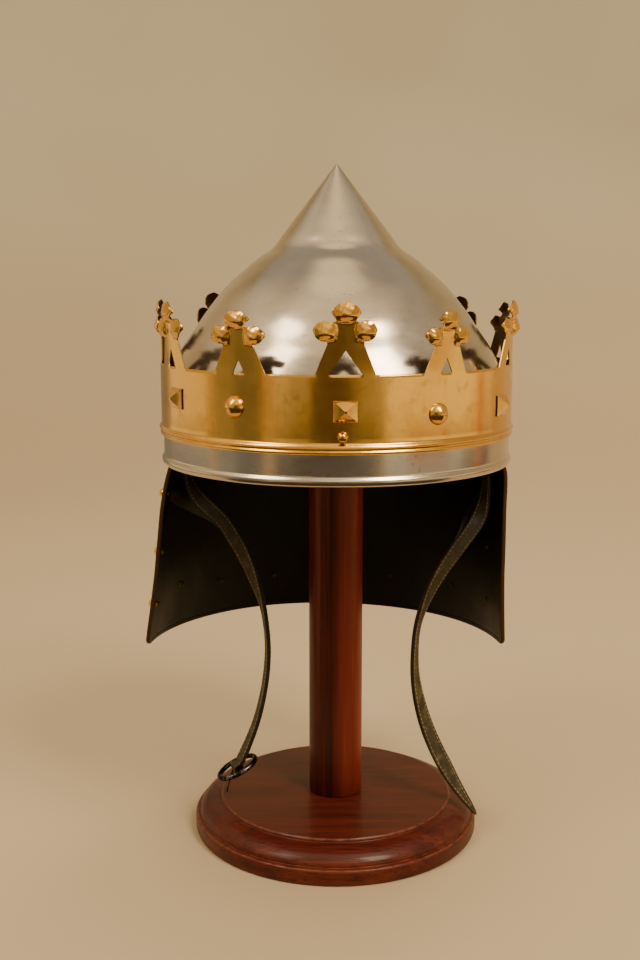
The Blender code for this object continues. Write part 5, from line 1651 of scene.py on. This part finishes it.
    def card(self, name: str, start: float, end: float, near: Flat, far: Flat, tone: str, strength: float,
             soft: float) -> None:
        """Adds a curved card that only shiny pieces mirror.

        The camera doesn't see it, and it casts no shadow.

        Args:
            name: the card's name.
            start: where it starts, in degrees from the front towards the wearer's left.
            end: where it ends.
            near: radius and height of its one edge in metres.
            far: radius and height of its other edge.
            tone: the colour that it sends out.
            strength: how strongly.
            soft: the share of its size over which its borders fade away, 0 where they are crisp.
        """
        finish = Shading(name)
        finish.set(Base_Color=linear("#000000"), Roughness=1.0, Emission_Color=linear(tone),
                   Emission_Strength=strength, Alpha=finish.attribute("solid"))
        round_it = end - start >= 360
        columns, rows = max(8, round(abs(end - start) / 4)), 10
        points, faces, solid = [], [], []
        for i in range(columns + 1):
            azimuth = math.radians(start + (end - start) * i / columns)
            for j in range(rows + 1):
                radius, height = (near[k] + (far[k] - near[k]) * j / rows for k in (0, 1))
                points.append((1000 * radius * math.sin(azimuth), -1000 * radius * math.cos(azimuth),
                               1000 * height))
                across = 1 - j / rows if near[0] == 0 else min(j, rows - j) / rows
                along = 1.0 if round_it else min(i, columns - i) / columns
                solid.append(min(1.0, across / soft, along / soft) if soft else 1.0)
        for i in range(columns):
            for j in range(rows):
                a = i * (rows + 1) + j
                faces.append([a, a + rows + 1, a + rows + 2, a + 1])
        panel = add_mesh(name, points, faces, finish.material, smooth=False, marks={"solid": solid})
        panel.visible_camera = False
        panel.visible_shadow = False
        panel.visible_diffuse = False

    def camera(self) -> None:
        """Sets the camera where the photograph was taken."""
        data = bpy.data.cameras.new("camera")
        data.sensor_width = self.sensor
        data.lens = self.lens
        made = bpy.data.objects.new("camera", data)
        made.location = self.camera_place
        made.rotation_euler = (math.radians(90 - self.camera_tilt), 0.0, 0.0)
        bpy.context.scene.collection.objects.link(made)
        bpy.context.scene.camera = made

    def build(self) -> None:
        """Sets up the whole studio."""
        self.sweep(StudioPaper().make())
        for row in self.cards:
            self.card(*row)
        for row in self.lamps:
            self.lamp(*row)
        world = bpy.data.worlds.new("studio_air")
        world.use_nodes = True
        air = world.node_tree.nodes["Background"].inputs
        air[0].default_value = linear(self.air)
        air[1].default_value = self.air_strength
        bpy.context.scene.world = world
        self.camera()


BUCKLE_STRAP_ROWS = (
    # (x, y, z, degrees that the grain side is turned from the front)
    (-72.5, 11.5, 205.0, 8.0),
    (-63.0, 8.6, 189.0, 24.0),
    (-55.6, 5.4, 172.0, 50.0),
    (-50.3, 2.4, 156.0, 72.0),
    (-47.6, -0.8, 141.0, 78.0),
    (-46.5, -3.8, 126.0, 78.0),
    (-47.4, -7.2, 110.0, 76.0),
    (-50.0, -10.2, 94.0, 75.0),
    (-54.0, -13.2, 78.5, 73.0),
    (-59.3, -16.0, 64.5, 70.0),
    (-64.6, -18.2, 52.6, 67.0),
)
FREE_STRAP_ROWS = (
    # (x, y, z, degrees that the grain side is turned from the front)
    (83.0, 10.6, 192.0, 10.0),
    (73.8, 8.0, 179.5, 26.0),
    (65.6, 5.0, 166.0, 46.0),
    (59.2, 2.0, 151.5, 62.0),
    (55.5, -0.8, 138.0, 68.0),
    (54.1, -4.4, 122.5, 66.0),
    (54.4, -7.8, 107.5, 60.0),
    (57.0, -11.4, 92.0, 50.0),
    (61.8, -15.0, 75.5, 40.0),
    (68.2, -18.4, 60.5, 32.0),
    (75.6, -21.4, 46.6, 28.0),
    (83.6, -24.2, 33.4, 26.0),
    (95.4, -28.0, 16.6, 26.0),
)


def main() -> None:
    """Builds every piece and the studio."""
    logging.basicConfig(level=logging.INFO, format="%(name)s %(message)s")
    lathe = Lathe(turning_tool())
    setter = setting_tool()
    stitcher = stitching_tool()
    steel, brass = SpunSteel().make(), PolishedBrass().make()
    leather, strap_leather = BlackLeather().make(), StrapLeather().make()
    iron, thread = BlackenedIron().make(), WaxedThread().make()
    # the post: a dark seam, with painted light on the side past it
    upright = StainedWood(Grain.UPRIGHT, seam_and_lit_side_x=-3.0).make()
    # the base's sharp edges, painted paler for worn varnish and a painted highlight
    wear_and_highlight_edges = ((79.2, 23.0, 1.3), (96.6, 10.8, 1.2), (94.3, 11.6, 0.8))
    across = StainedWood(Grain.ACROSS, coat=0.2, dark="#280C07", middle="#521A10", light="#72301F",
                         contrast=(0.26, 0.76), wear_and_highlight_rings=wear_and_highlight_edges).make()
    Skull().build(lathe, steel)
    Crown().build(brass)
    studs = Studs()
    studs.build(lathe, setter, brass)
    guard = NeckGuard()
    guard.build(leather)
    Rivets(guard).build(lathe, setter, studs, brass)
    buckled = Strap("buckle_strap", -1, BUCKLE_STRAP_ROWS, guard, -82.0, loop=True)
    bar = buckled.build(strap_leather, stitcher, thread)
    Buckle().build(bar, iron)
    Strap("free_strap", 1, FREE_STRAP_ROWS, guard, 71.5, loop=False).build(strap_leather, stitcher, thread)
    Stand().build(lathe, upright, across)
    Studio().build()
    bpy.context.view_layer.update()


if __name__ == "__main__":
    main()
